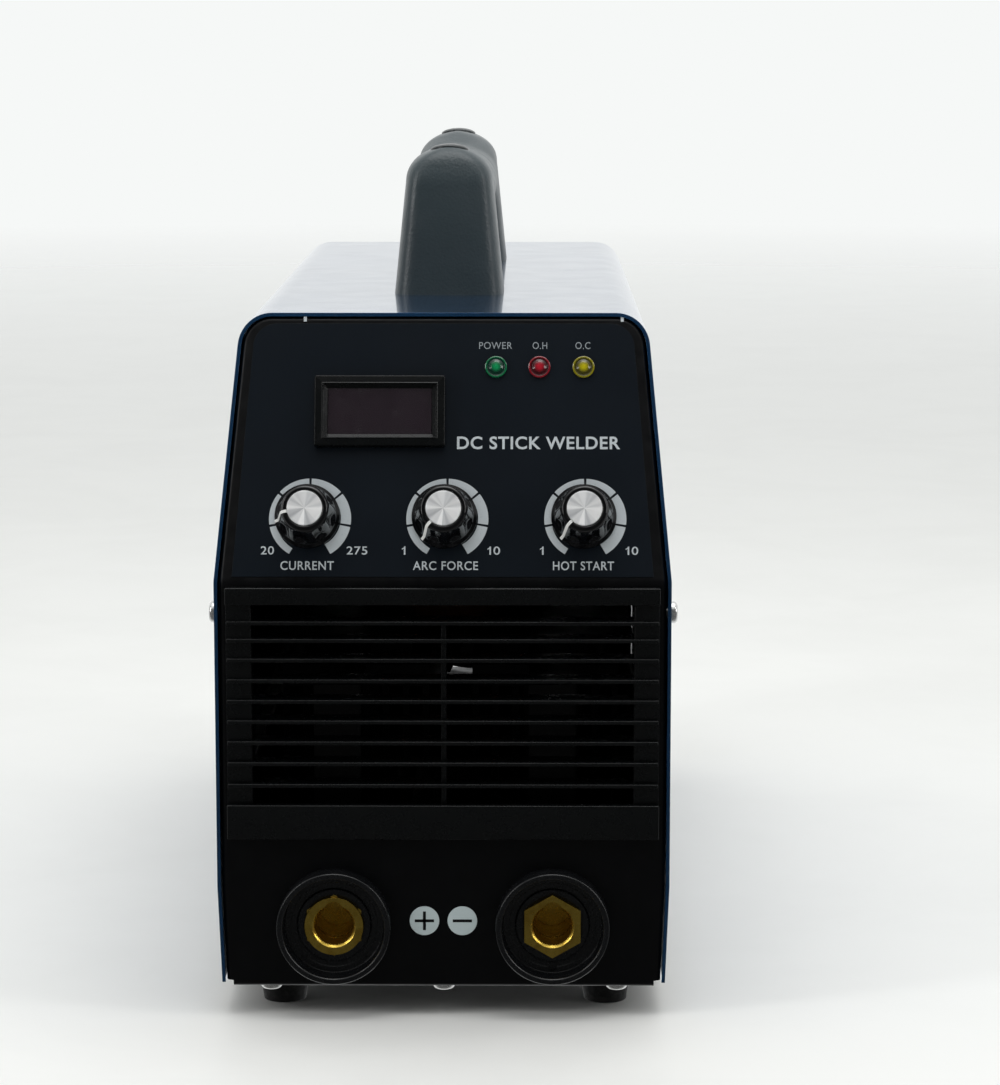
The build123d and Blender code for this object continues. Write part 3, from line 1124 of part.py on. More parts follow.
parts = {
    "cover": make_cover(),
    "base_tray": make_base_tray(),
    "front_panel": make_front_panel(),
    "rear_panel": make_rear_panel(),
    "panel_label": make_label(),
    "polarity_labels": group(make_polarity_label(x) for x in (-POLARITY_X, POLARITY_X)),
    "front_grille": make_grille(),
    "display_bezel": make_bezel(),
    "display_window": make_window(),
    "meter_display": make_meter(),
    "control_board": make_control_board(),
    "potentiometers": group(make_pot(x) for x in KNOB_X),
    "potentiometer_nuts": group(make_pot_nut(x) for x in KNOB_X),
    "socket_clamp_rings": group(make_clamp_ring(x) for x in SIDES.values()),
    "socket_nuts": group(make_socket_nut(x) for x in SIDES.values()),
    "output_straps": group(make_strap(x) for x in SIDES.values()),
    "handle": make_handle(),
    "handle_caps": group(make_handle_cap(place) for place in HANDLE_SCREWS),
    "handle_screws": group(make_handle_screw(place) for place in HANDLE_SCREWS),
    "m5_nuts": group(make_m5_nuts()),
    "cover_screws": group(make_cover_screws()),
    "base_screws": group(make_base_screws()),
    "feet": group(make_foot(place) for place in FEET),
    "foot_screws": group(make_foot_screw(place) for place in FEET),
    "fan_frame": make_fan_frame(),
    "fan_rotor": make_fan_rotor(),
    "fan_guard": make_fan_guard(),
    "fan_screws": group(make_fan_screws()),
    "power_switch": make_switch(),
    "power_rocker": make_rocker(),
    "cable_gland": make_gland(),
    "gland_dome_nut": make_gland_dome(),
    "gland_lock_nut": make_gland_nut(),
    "earth_stud": make_earth_stud(),
    "earth_nut": make_earth_nut(),
    "heat_sinks": group(make_heat_sink(x) for x in (-SINK_X, SINK_X)),
    "board_supports": group(make_supports()),
    "power_devices": group(make_power_devices()),
    "main_board": make_main_board(),
    "capacitors": group(make_capacitors()),
    "transformer_core": make_core(),
    "transformer_winding": make_winding(),
    "output_choke": make_choke(),
}
for name, x in KNOBS.items():
    parts[name + "_shaft"] = make_shaft(x)
    parts[name + "_knob"] = make_knob(x)
    parts[name + "_knob_cap"] = make_knob_cap(x)
for name, x in LEDS.items():
    parts[name] = make_led(x)
for name, x in SIDES.items():
    parts[name + "_socket"] = make_socket(x, name == "negative")
    parts[name + "_insert"] = make_insert(x, name == "negative")

# The origin goes on the floor, at the centre of the whole object's footprint.
reach = [shape.bounding_box() for shape in parts.values()]
front_reach = min(box.min.Y for box in reach)
rear_reach = max(box.max.Y for box in reach)
to_origin = Pos(0, -(front_reach + rear_reach) / 2, 0)

os.makedirs("parts", exist_ok=True)
for name, shape in parts.items():
    export_step(to_origin * shape, f"parts/{name}.step")
print("moved along Y by", -(front_reach + rear_reach) / 2)
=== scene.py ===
import json
import math

import bmesh
import bpy
import numpy as np
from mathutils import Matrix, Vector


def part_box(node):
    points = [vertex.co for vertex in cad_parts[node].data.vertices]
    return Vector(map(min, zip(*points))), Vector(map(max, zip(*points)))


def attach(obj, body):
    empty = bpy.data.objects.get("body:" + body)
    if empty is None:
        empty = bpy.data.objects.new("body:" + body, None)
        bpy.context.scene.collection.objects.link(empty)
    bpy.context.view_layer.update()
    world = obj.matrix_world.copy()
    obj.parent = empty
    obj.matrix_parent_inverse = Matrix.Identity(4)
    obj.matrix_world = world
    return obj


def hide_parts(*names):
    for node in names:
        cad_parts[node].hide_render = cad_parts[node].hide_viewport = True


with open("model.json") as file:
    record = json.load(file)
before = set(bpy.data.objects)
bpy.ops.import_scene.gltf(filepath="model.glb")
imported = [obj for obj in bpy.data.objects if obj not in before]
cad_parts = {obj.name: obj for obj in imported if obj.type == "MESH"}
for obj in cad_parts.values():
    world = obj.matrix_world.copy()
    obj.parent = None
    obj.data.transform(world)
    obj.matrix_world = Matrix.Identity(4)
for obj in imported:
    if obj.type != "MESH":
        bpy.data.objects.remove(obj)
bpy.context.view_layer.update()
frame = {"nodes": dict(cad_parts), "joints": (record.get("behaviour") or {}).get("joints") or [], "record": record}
MM = 0.001

# ---- studio ----
# A pale seamless floor under a soft white surround. The surround is brightest behind and above the
# machine and dim in front of it, so that the gloss paint shows light edges on a dark face.


def tone(red, green, blue):
    """A display colour, 0 to 255 in each channel, as the linear colour that a shader takes."""
    share = np.array([red, green, blue]) / 255
    linear = np.where(share <= 0.04045, share / 12.92, ((share + 0.055) / 1.055) ** 2.4)
    return (*linear.tolist(), 1.0)


class Finish:
    """A surface made of nodes. Each method adds one or two nodes and gives the socket they end in."""

    def __init__(self, name, **values):
        self.material = bpy.data.materials.new(name)
        self.material.use_nodes = True
        self.nodes = self.material.node_tree.nodes
        self.links = self.material.node_tree.links
        self.shader = self.nodes["Principled BSDF"]
        self.place = self.nodes.new("ShaderNodeTexCoord").outputs["Object"]
        for socket, value in values.items():
            self.put(self.shader, socket.replace("_", " "), value)

    def put(self, node, socket, value):
        """Links a socket to another one, or sets it to a number or colour."""
        if isinstance(value, bpy.types.NodeSocket):
            self.links.new(value, node.inputs[socket])
        else:
            node.inputs[socket].default_value = value

    def stretched(self, scale, turn=(0, 0, 0), place=None):
        """The place on the object, or another place, turned and scaled along each axis."""
        mapping = self.nodes.new("ShaderNodeMapping")
        self.put(mapping, "Vector", place or self.place)
        self.put(mapping, "Rotation", turn)
        self.put(mapping, "Scale", scale)
        return mapping.outputs["Vector"]

    def noise(self, size, detail=3.0, roughness=0.55, place=None, distortion=0.0):
        """Cloudy noise whose lumps are about `size` metres across."""
        node = self.nodes.new("ShaderNodeTexNoise")
        self.put(node, "Vector", place or self.place)
        self.put(node, "Scale", 1 / size)
        self.put(node, "Detail", detail)
        self.put(node, "Roughness", roughness)
        self.put(node, "Distortion", distortion)
        return node.outputs["Fac"]

    def cells(self, size):
        """Distance to the nearest of many scattered points that lie about `size` metres apart."""
        node = self.nodes.new("ShaderNodeTexVoronoi")
        self.put(node, "Vector", self.place)
        self.put(node, "Scale", 1 / size)
        return node.outputs["Distance"]

    def span(self, value, start, end, low=0.0, high=1.0):
        """Value from start to end drawn out to the range from low to high, and held outside it."""
        node = self.nodes.new("ShaderNodeMapRange")
        for socket, number in (("Value", value), ("From Min", start), ("From Max", end),
                               ("To Min", low), ("To Max", high)):
            self.put(node, socket, number)
        return node.outputs["Result"]

    def sums(self, operation, first, second):
        """Two numbers added, multiplied and so on."""
        node = self.nodes.new("ShaderNodeMath")
        node.operation = operation
        for index, value in enumerate((first, second)):
            self.put(node, index, value)
        return node.outputs["Value"]

    def mixed(self, share, first, second):
        """First colour where the share is 0, second where it is 1."""
        node = self.nodes.new("ShaderNodeMix")
        node.data_type = "RGBA"
        self.put(node, "Factor", share)
        self.put(node, 6, first)
        self.put(node, 7, second)
        return node.outputs[2]

    def colour(self, value):
        self.put(self.shader, "Base Color", value)
        return self

    def rough(self, value):
        self.put(self.shader, "Roughness", value)
        return self

    def relief(self, height, depth, coat=False):
        """Fine relief, `depth` metres deep where the height is 1, over any relief already there."""
        node = self.nodes.new("ShaderNodeBump")
        node.inputs["Distance"].default_value = depth
        self.put(node, "Height", height)
        for link in list(self.shader.inputs["Normal"].links):
            self.links.new(link.from_socket, node.inputs["Normal"])
        self.links.new(node.outputs["Normal"], self.shader.inputs["Normal"])
        if coat:
            self.links.new(node.outputs["Normal"], self.shader.inputs["Coat Normal"])
        return self


def make_floor():
    """Round pale floor, wide enough to fill every view, with faint uneven marks."""
    bpy.ops.mesh.primitive_circle_add(vertices=128, radius=14, fill_type="NGON")
    floor = bpy.context.object
    floor.name = "studio_floor"
    stone = Finish("pale floor", Roughness=0.55)
    marks = stone.noise(0.16, detail=6, roughness=0.6, distortion=0.6)
    stone.colour(stone.mixed(stone.span(marks, 0.42, 0.66), tone(242, 242, 239), tone(239, 239, 236)))
    stone.rough(stone.span(stone.noise(0.03), 0.3, 0.7, 0.5, 0.65))
    reach = stone.nodes.new("ShaderNodeVectorMath")
    reach.operation = "LENGTH"
    stone.put(reach, 0, stone.place)
    stone.put(stone.shader, "Alpha", stone.span(reach.outputs["Value"], 0.9, 4.2, 1.0, 0.0))
    floor.data.materials.append(stone.material)
    floor.visible_glossy = False


def make_surround():
    """Light from all round by direction: dim ahead of the machine, bright behind it and above it.
    What the camera itself sees of the surround is an even pale tone."""
    world = bpy.data.worlds.new("studio surround")
    bpy.context.scene.world = world
    world.use_nodes = True
    nodes, links = world.node_tree.nodes, world.node_tree.links

    def add(kind, inputs, **settings):
        node = nodes.new(kind)
        for name, value in settings.items():
            setattr(node, name, value)
        for socket, value in inputs.items():
            if isinstance(value, bpy.types.NodeSocket):
                links.new(value, node.inputs[socket])
            else:
                node.inputs[socket].default_value = value
        return node.outputs[0]

    def band(value, start, end, low, high):
        return add("ShaderNodeMapRange", {"Value": value, "From Min": start, "From Max": end,
                                          "To Min": low, "To Max": high}, interpolation_type="SMOOTHSTEP")

    direction = nodes.new("ShaderNodeTexCoord").outputs["Generated"]
    parts = nodes.new("ShaderNodeSeparateXYZ")
    links.new(direction, parts.inputs[0])
    behind = band(parts.outputs["Y"], -0.42, 0.75, 0.07, 0.98)
    above = band(parts.outputs["Z"], 0.55, 0.86, 0.0, 1.0)
    strength = add("ShaderNodeMath", {0: behind, 1: above}, operation="MAXIMUM")
    light = nodes["Background"]
    light.inputs["Color"].default_value = tone(250, 252, 252)
    links.new(strength, light.inputs["Strength"])
    seen = nodes.new("ShaderNodeBackground")
    seen.inputs["Color"].default_value = tone(246, 248, 247)
    straight = nodes.new("ShaderNodeLightPath").outputs["Is Camera Ray"]
    chosen = nodes.new("ShaderNodeMixShader")
    links.new(straight, chosen.inputs[0])
    links.new(light.outputs[0], chosen.inputs[1])
    links.new(seen.outputs[0], chosen.inputs[2])
    links.new(chosen.outputs[0], nodes["World Output"].inputs["Surface"])


def soft_light(name, place, aim, size, power):
    """Rectangular softbox at a place, facing an aim point, unseen by the camera."""
    lamp = bpy.data.lights.new(name, "AREA")
    lamp.shape = "RECTANGLE"
    lamp.size, lamp.size_y = size
    lamp.energy = power
    light = bpy.data.objects.new(name, lamp)
    light.location = place
    towards = Vector(aim) - Vector(place)
    light.rotation_euler = towards.to_track_quat("-Z", "Y").to_euler()
    light.visible_camera = False
    bpy.context.scene.collection.objects.link(light)


def make_camera():
    """Long lens at chest height, a little to the right of the middle and looking down a little."""
    lens = bpy.data.cameras.new("camera")
    lens.lens = 112.81
    lens.clip_start, lens.clip_end = 0.02, 60
    camera = bpy.data.objects.new("camera", lens)
    camera.location = (0.02728, -1.31396, 0.33576)
    camera.rotation_euler = (math.radians(90 - 8.847), 0, math.radians(0.42))
    bpy.context.scene.collection.objects.link(camera)
    bpy.context.scene.camera = camera


make_floor()
make_surround()
soft_light("overhead softbox", (0.1, -0.15, 1.5), (0, 0, 0.2), (1.1, 0.9), 8)
soft_light("left strip", (-1.3, -0.75, 0.75), (0, -0.1, 0.15), (0.25, 1.0), 5)
soft_light("right strip", (1.3, -0.55, 0.75), (0, -0.1, 0.15), (0.25, 1.0), 4)
make_camera()
bpy.context.scene.view_settings.view_transform = "Standard"

# ---- cover ----
# One sheet of 1.2 mm steel, cut, folded over the top and down both sides, and sprayed with a
# metallic blue lacquer. It is held by eight pan-head screws.


def corners(node):
    """The lowest and the highest corner of a CAD node's box."""
    return [np.array(corner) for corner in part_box(node)]


def place_piece(piece, finish, body, stands_for=()):
    """Gives a finished piece its surface and its body, and hides the CAD nodes that it stands for."""
    piece.data.materials.clear()
    piece.data.materials.append(finish.material)
    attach(piece, body)
    if stands_for:
        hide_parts(*stands_for)
    return piece


def softened(node, name, edge, finish, body="case", steps=2):
    """Copy of a CAD node with its triangles joined up and its flat areas made whole. Its sharp edges
    are broken by `edge` metres, and it shades smoothly round curves and flat on flats."""
    source = frame["nodes"][node]
    mesh = bpy.data.meshes.new(name)
    form = bmesh.new()
    form.from_mesh(source.data)
    for layer in [layer for layer in form.loops.layers.float_vector.values()]:
        form.loops.layers.float_vector.remove(layer)
    bmesh.ops.remove_doubles(form, verts=form.verts, dist=2e-6)
    bmesh.ops.dissolve_limit(form, angle_limit=math.radians(0.4), verts=form.verts, edges=form.edges)
    form.to_mesh(mesh)
    form.free()
    if "custom_normal" in mesh.attributes:
        mesh.attributes.remove(mesh.attributes["custom_normal"])
    mesh.shade_smooth()
    piece = bpy.data.objects.new(name, mesh)
    bpy.context.scene.collection.objects.link(piece)
    bevel = piece.modifiers.new("broken edges", "BEVEL")
    bevel.width, bevel.segments = edge, steps
    bevel.limit_method, bevel.angle_limit = "ANGLE", math.radians(32)
    bevel.miter_outer = "MITER_ARC"
    flats = piece.modifiers.new("flat flats", "WEIGHTED_NORMAL")
    flats.keep_sharp = True
    return place_piece(piece, finish, body, [node])


def blue_lacquer():
    """Metallic blue under a clear coat: fine flake, slight orange peel, dust and hair scratches."""
    paint = Finish("metallic blue lacquer", Metallic=0.75, Coat_Weight=0.85, Coat_Roughness=0.05)
    flake = paint.cells(0.35 * MM)
    deep = paint.mixed(paint.noise(60 * MM, detail=2), tone(16, 62, 104), tone(22, 76, 122))
    base = paint.mixed(paint.span(flake, 0.10, 0.45, 0.35, 0.0), deep, tone(84, 142, 184))
    dust = paint.span(paint.noise(7 * MM, detail=8, roughness=0.72), 0.60, 0.78, 0.0, 0.10)
    specks = paint.span(paint.cells(9 * MM), 0.0, 0.035, 0.35, 0.0)
    soiled = paint.mixed(paint.sums("MAXIMUM", dust, specks), base, tone(176, 182, 184))
    paint.colour(soiled)
    paint.rough(paint.span(paint.noise(18 * MM, detail=5), 0.3, 0.75, 0.20, 0.28))
    peel = paint.noise(1.6 * MM, detail=1)
    paint.relief(peel, 0.004 * MM, coat=True)
    scratch = paint.noise(3 * MM, detail=2, place=paint.stretched((1.0, 0.05, 0.6), turn=(0.2, 0.1, 0.5)))
    paint.relief(paint.span(scratch, 0.68, 0.74), 0.001 * MM, coat=True)
    return paint


lacquer = blue_lacquer()
cover = softened("cover", "folded_cover", 0.4 * MM, lacquer, steps=3)

# ---- front and rear panels, base tray ----
# Three folded steel pans, powder-coated satin black. They slide inside the cover and carry
# everything else.


def powder_coat():
    """Baked black powder: a fine pebbled skin with thin rub marks."""
    coat = Finish("black powder coat", Specular_IOR_Level=0.32)
    cloud = coat.noise(24 * MM, detail=4)
    coat.colour(coat.mixed(cloud, tone(2, 2, 4), tone(4, 5, 7)))
    coat.rough(coat.span(coat.noise(5 * MM, detail=4), 0.3, 0.7, 0.30, 0.44))
    coat.relief(coat.noise(0.45 * MM, detail=2), 0.018 * MM)
    rub = coat.noise(2.5 * MM, detail=1, place=coat.stretched((0.06, 1, 1), turn=(0, 0.25, 0)))
    coat.relief(coat.span(rub, 0.68, 0.72), 0.004 * MM)
    return coat


powder = powder_coat()
softened("front_panel", "bent_front_panel", 0.15 * MM, powder)
softened("rear_panel", "folded_rear_panel", 0.25 * MM, powder)
softened("base_tray", "tray_channel", 0.2 * MM, powder)

# ---- control panel overlay ----
# A printed polyester film stuck to the leaning face: dark blue ground with a fine tooth, and the
# words, numbers and dial scales printed on it in pale grey.
turning = {joint["name"]: joint for joint in frame["joints"]}
panel_out = -np.array(turning["arc_force_turn"]["axis"])
panel_up = np.array([0.0, panel_out[2], -panel_out[1]])
knob_line = np.array(turning["arc_force_turn"]["pos_m"]) * (0, 1, 1)
dial_x = {name: turning[name + "_turn"]["pos_m"][0] for name in ("current", "arc_force", "hot_start")}
FILM = 0.25 * MM
PRINT = 0.03 * MM
PRINT_DROP = 0.7 * MM
SCALE_REACH = 150


def on_panel(across, up, out):
    """Points on the leaning panel: across it, up it from the knobs' centre line, and out from it."""
    across, up, out = np.broadcast_arrays(across, up, out)
    return knob_line + across[..., None] * np.array([1.0, 0, 0]) + up[..., None] * panel_up + (
        out[..., None] * panel_out)


def on_label(across, up, out):
    """Points on the overlay's print, which sits a little lower on the panel than the knobs."""
    return on_panel(across, np.asarray(up, float) - PRINT_DROP, out)


def film():
    """Satin film with a fine tooth, a faint blue sparkle and a few dust specks."""
    skin = Finish("printed film", Specular_IOR_Level=0.30)
    ground = skin.mixed(skin.noise(45 * MM, detail=2), tone(10, 16, 23), tone(15, 23, 31))
    tooth = skin.noise(0.35 * MM, detail=2, roughness=0.7)
    sparkle = skin.mixed(skin.span(tooth, 0.60, 0.80, 0.0, 0.4), ground, tone(34, 44, 58))
    specks = skin.span(skin.cells(11 * MM), 0.0, 0.016, 0.5, 0.0)
    skin.colour(skin.mixed(specks, sparkle, tone(120, 126, 134)))
    skin.rough(skin.span(skin.noise(30 * MM, detail=2), 0.3, 0.7, 0.29, 0.33))
    skin.relief(tooth, 0.02 * MM)
    return skin


def printing_ink(name, shade, worn):
    """Screen ink: one colour with pinholes and slightly uneven cover."""
    ink = Finish(name, Specular_IOR_Level=0.4)
    cover_share = ink.span(ink.noise(0.5 * MM, detail=3, roughness=0.7), 0.60, 0.74, 0.0, 0.55)
    ink.colour(ink.mixed(cover_share, shade, worn))
    ink.rough(ink.span(ink.noise(3 * MM), 0.3, 0.7, 0.42, 0.58))
    ink.relief(ink.noise(0.3 * MM), 0.01 * MM)
    return ink


softened("panel_label", "control_overlay", 0.06 * MM, film(), steps=1)
pale_ink = printing_ink("pale print", tone(200, 207, 211), tone(150, 156, 163))
grey_ink = printing_ink("grey print", tone(150, 157, 162), tone(112, 118, 124))
black_ink = printing_ink("black print", tone(12, 13, 15), tone(34, 36, 38))


def add_piece(name, parts, finish, body, stands_for=(), sharp=35):
    """One mesh from several (points, faces) pairs, with doubles merged, faces outwards and smooth
    shading up to `sharp` degrees."""
    points, faces, start = [], [], 0
    for part_points, part_faces in parts:
        points.append(np.asarray(part_points, float).reshape(-1, 3))
        faces += [[corner + start for corner in face] for face in part_faces]
        start += len(points[-1])
    mesh = bpy.data.meshes.new(name)
    mesh.from_pydata(np.concatenate(points).tolist(), [], faces)
    form = bmesh.new()
    form.from_mesh(mesh)
    bmesh.ops.remove_doubles(form, verts=form.verts, dist=1e-7)
    bmesh.ops.recalc_face_normals(form, faces=form.faces)
    form.to_mesh(mesh)
    form.free()
    mesh.shade_smooth()
    mesh.set_sharp_from_angle(angle=math.radians(sharp))
    piece = bpy.data.objects.new(name, mesh)
    bpy.context.scene.collection.objects.link(piece)
    return place_piece(piece, finish, body, stands_for)


def skin(grid, around=True, ends=True):
    """Points and faces of a grid: rows run along the piece and columns go round it. The last column
    joins the first when it goes around, and each end row is closed by one face."""
    rows, columns = grid.shape[:2]
    index = np.arange(rows * columns).reshape(rows, columns)
    wrapped = np.hstack([index, index[:, :1]]) if around else index
    quads = np.stack([wrapped[:-1, :-1], wrapped[:-1, 1:], wrapped[1:, 1:], wrapped[1:, :-1]], -1)
    faces = quads.reshape(-1, 4).tolist()
    if ends:
        faces += [index[0, ::-1].tolist(), index[-1].tolist()]
    return grid.reshape(-1, 3), faces


def print_strip(outer, inner, low=FILM, high=FILM + PRINT):
    """Flat band of print between two lines of (across, up) points, standing a little off the film."""
    ring = [on_label(line[:, 0], line[:, 1], level)
            for line, level in ((outer, low), (outer, high), (inner, high), (inner, low))]
    return skin(np.stack(ring, 1))


def dial_scale(centre, gaps=(-100, -50, 0, 50, 100), narrow=2.2 * MM, wide=3.75 * MM):
    """Crescent scale round a dial in six lengths. Its outer radius is constant and its width grows
    from one end to the other; between lengths there is a gap of a constant width."""
    outer = 13.7 * MM
    half_gap = 0.42 * MM / outer
    ends = [-SCALE_REACH, *gaps, SCALE_REACH]
    strips = []
    for first, last in zip(ends[:-1], ends[1:]):
        start = math.radians(first) + (half_gap if first > -SCALE_REACH else 0)
        stop = math.radians(last) - (half_gap if last < SCALE_REACH else 0)
        angle = np.linspace(start, stop, 24)
        width = narrow + (wide - narrow) * (angle + math.radians(SCALE_REACH)) / math.radians(2 * SCALE_REACH)
        lines = [np.stack([centre + radius * np.sin(angle), radius * np.cos(angle)], -1)
                 for radius in (outer, outer - width)]
        strips.append(print_strip(*lines))
    return strips


def lettering(words, left, right, low, high, weight=0.008):
    """Printed words stretched to fill a box on a face, slightly raised. The outline of the built-in
    lettering is thickened by `weight` of its height first."""
    text = bpy.data.curves.new("lettering", "FONT")
    text.body = words
    text.offset = weight
    text.space_character = 1.08
    text.extrude = 0.02
    text.resolution_u = 6
    holder = bpy.data.objects.new("lettering", text)
    bpy.context.scene.collection.objects.link(holder)
    mesh = bpy.data.meshes.new_from_object(holder.evaluated_get(bpy.context.evaluated_depsgraph_get()))
    flat = np.zeros(len(mesh.vertices) * 3)
    mesh.vertices.foreach_get("co", flat)
    flat = flat.reshape(-1, 3)
    faces = [list(face.vertices) for face in mesh.polygons]
    start, end = flat.min(0), flat.max(0)
    share = (flat - start) / (end - start)
    bpy.data.objects.remove(holder)
    bpy.data.meshes.remove(mesh)
    return on_label(left + share[:, 0] * (right - left), low + share[:, 1] * (high - low),
                    FILM + share[:, 2] * PRINT), faces


def figure_one(left, right, low, high):
    """The figure 1 as an upright stroke with a flag, raised by the thickness of the print."""
    outline = np.array([(0.55, 0), (1, 0), (1, 1), (0.66, 1),
                        (0.45, 0.84), (0, 0.74), (0, 0.6), (0.55, 0.74)])
    flat = np.array([left, low]) + outline * (right - left, high - low)
    ends = [on_label(flat[:, 0], flat[:, 1], level) for level in (FILM, FILM + PRINT)]
    return skin(np.stack(ends))


lamp_row = (58.2, 60.6, 0.0, grey_ink)
dial_row = (-17.3, -14.3, 0.01, pale_ink)
words = {
    "title_print": ("DC STICK WELDER", 4.6, 59.2, 23.75, 28.15, 0.02, pale_ink),
    "power_print": ("POWER", 11.9, 23.0, *lamp_row),
    "overheat_print": ("O.H", 29.9, 34.8, *lamp_row),
    "overcurrent_print": ("O.C", 44.3, 49.3, *lamp_row),
    "current_print": ("CURRENT", -54.0, -36.2, *dial_row),
    "arc_force_print": ("ARC FORCE", -9.9, 11.8, *dial_row),
    "hot_start_print": ("HOT START", 36.7, 57.0, *dial_row),
}
for name, (text, left, right, low, high, weight, ink) in words.items():
    add_piece(name, [lettering(text, left * MM, right * MM, low * MM, high * MM, weight)],
              ink, "case")
for name, centre in (("current", -44.3 * MM), ("arc_force", 1.5 * MM), ("hot_start", 47.5 * MM)):
    low, high = -12.1 * MM, -9.3 * MM
    if name == "current":
        marks = [lettering("20", centre - 16.3 * MM, centre - 11.9 * MM, low, high),
                 lettering("275", centre + 12.3 * MM, centre + 19.2 * MM, low, high)]
    else:
        marks = [figure_one(centre - 15.1 * MM, centre - 13.9 * MM, low, high),
                 figure_one(centre + 13.4 * MM, centre + 14.6 * MM, low, high),
                 lettering("0", centre + 15.4 * MM, centre + 17.6 * MM, low, high)]
    add_piece(name + "_scale", dial_scale(centre) + marks, pale_ink, "case")
for name, x in (("left_tick", -46.75), ("right_tick", 60.1)):
    line = np.array([[x - 0.5, 67.7], [x - 0.5, 69.7]]) * MM
    add_piece(name, [print_strip(line, line + (1.0 * MM, 0), 0, FILM + PRINT)], pale_ink, "case")

# ---- display ----
# A moulded black frame snapped through the panel, with a smoked window let into it and the meter's
# digit block behind.
bezel_low, bezel_high = corners("display_bezel")
bezel_x = (bezel_low[0] + bezel_high[0]) / 2
window_low, window_high = corners("display_window")
window_middle = (window_low + window_high) / 2 - knob_line
bezel_up = float(window_middle @ panel_up)
bezel_size = np.array([43.8, 24.2]) * MM


def rounded_path(points, radii, spacing):
    """A bent line with each inner corner rounded to its radius: arcs between the straight runs, with
    points about `spacing` apart."""
    points = np.asarray(points, float)
    pieces = [points[:1]]
    for before, corner, after, radius in zip(points[:-2], points[1:-1], points[2:], radii):
        back, ahead = before - corner, after - corner
        back, ahead = back / np.linalg.norm(back), ahead / np.linalg.norm(ahead)
        half = math.acos(float(np.clip(back @ ahead, -1, 1))) / 2
        if radius <= 0 or half > math.radians(89.5):
            pieces.append(corner[None])
            continue
        centre = corner + (back + ahead) / np.linalg.norm(back + ahead) * radius / math.sin(half)
        start, end = (corner + side * radius / math.tan(half) - centre for side in (back, ahead))
        turn = math.pi - 2 * half
        share = np.linspace(0, 1, max(3, int(radius * turn / spacing) + 2))[:, None]
        arc = np.sin((1 - share) * turn) * start + np.sin(share * turn) * end
        pieces.append(centre + arc / math.sin(turn))
    pieces.append(points[-1:])
    return np.concatenate(pieces)


def square_ring(half_width, half_height, radius, steps=5):
    """Points round a rectangle with rounded corners, the same number for every size."""
    quarter = np.linspace(0, math.pi / 2, steps + 1)
    angle = np.concatenate([quarter + turn * math.pi / 2 for turn in range(4)])
    side = np.repeat([(1, 1), (-1, 1), (-1, -1), (1, -1)], steps + 1, axis=0)
    radius = max(radius, 1e-5)
    return np.stack([side[:, 0] * (half_width - radius) + radius * np.cos(angle),
                     side[:, 1] * (half_height - radius) + radius * np.sin(angle)], -1)


def framed(profile, size, corner, centre, to_frame):
    """A moulding carried round a rectangle: each point of its profile is (distance in from the
    outside, height), and gives one ring."""
    rings = []
    for inset, height in profile:
        ring = square_ring(size[0] / 2 - inset, size[1] / 2 - inset, corner - inset)
        rings.append(to_frame(centre[0] + ring[:, 0], centre[1] + ring[:, 1], height))
    return skin(np.stack(rings), ends=False)


def moulded_black(name, dark, light, roughness, grain=0.25 * MM, depth=0.01 * MM, **values):
    """Black moulded plastic: faint cloudiness, fine grain and thin scuffs."""
    plastic = Finish(name, **values)
    plastic.colour(plastic.mixed(plastic.noise(14 * MM, detail=4), dark, light))
    plastic.rough(plastic.span(plastic.noise(4 * MM, detail=4), 0.3, 0.7, *roughness))
    plastic.relief(plastic.noise(grain, detail=2), depth)
    scuff = plastic.noise(1.8 * MM, detail=2, place=plastic.stretched((1, 0.07, 0.3), turn=(0.4, 0, 0.9)))
    plastic.relief(plastic.span(scuff, 0.68, 0.73), 0.006 * MM)
    return plastic


def smoked_pane():
    """Dark purple-brown acrylic with a polished face and a little dust."""
    pane = Finish("smoked window", Coat_Weight=0.6, Coat_Roughness=0.08, Specular_IOR_Level=0.5)
    haze = pane.noise(12 * MM, detail=3)
    dust = pane.span(pane.noise(0.5 * MM, detail=4, roughness=0.8), 0.62, 0.8, 0.0, 0.35)
    tint = pane.mixed(haze, tone(33, 25, 31), tone(41, 32, 39))
    pane.colour(pane.mixed(dust, tint, tone(86, 78, 86)))
    pane.rough(pane.span(pane.noise(5 * MM, detail=5), 0.3, 0.7, 0.12, 0.3))
    pane.relief(pane.noise(8 * MM), 0.02 * MM)
    return pane


bezel_profile = rounded_path(
    np.array([(0.0, FILM / MM), (0.0, 2.95), (0.3, 3.25), (2.45, 3.25), (2.62, 3.42), (2.9, 3.42),
              (3.1, 3.05), (4.35, 1.75), (4.7, 1.45)]) * MM,
    np.array([0.0, 0.2, 0.2, 0.05, 0.1, 0.1, 0.1, 0.0]) * MM, 0.06 * MM)
bezel_profile = np.concatenate([bezel_profile, np.array([(4.7, FILM / MM)]) * MM, bezel_profile[:1]])
semi_gloss = moulded_black("bezel plastic", tone(6, 8, 9), tone(9, 11, 12), (0.22, 0.3),
                           Specular_IOR_Level=0.32)
add_piece("display_frame", [framed(bezel_profile, bezel_size, 0.7 * MM, (bezel_x, bezel_up), on_panel)],
          semi_gloss, "case", ["display_bezel"], sharp=50)
softened("display_window", "smoked_pane", 0.12 * MM, smoked_pane())
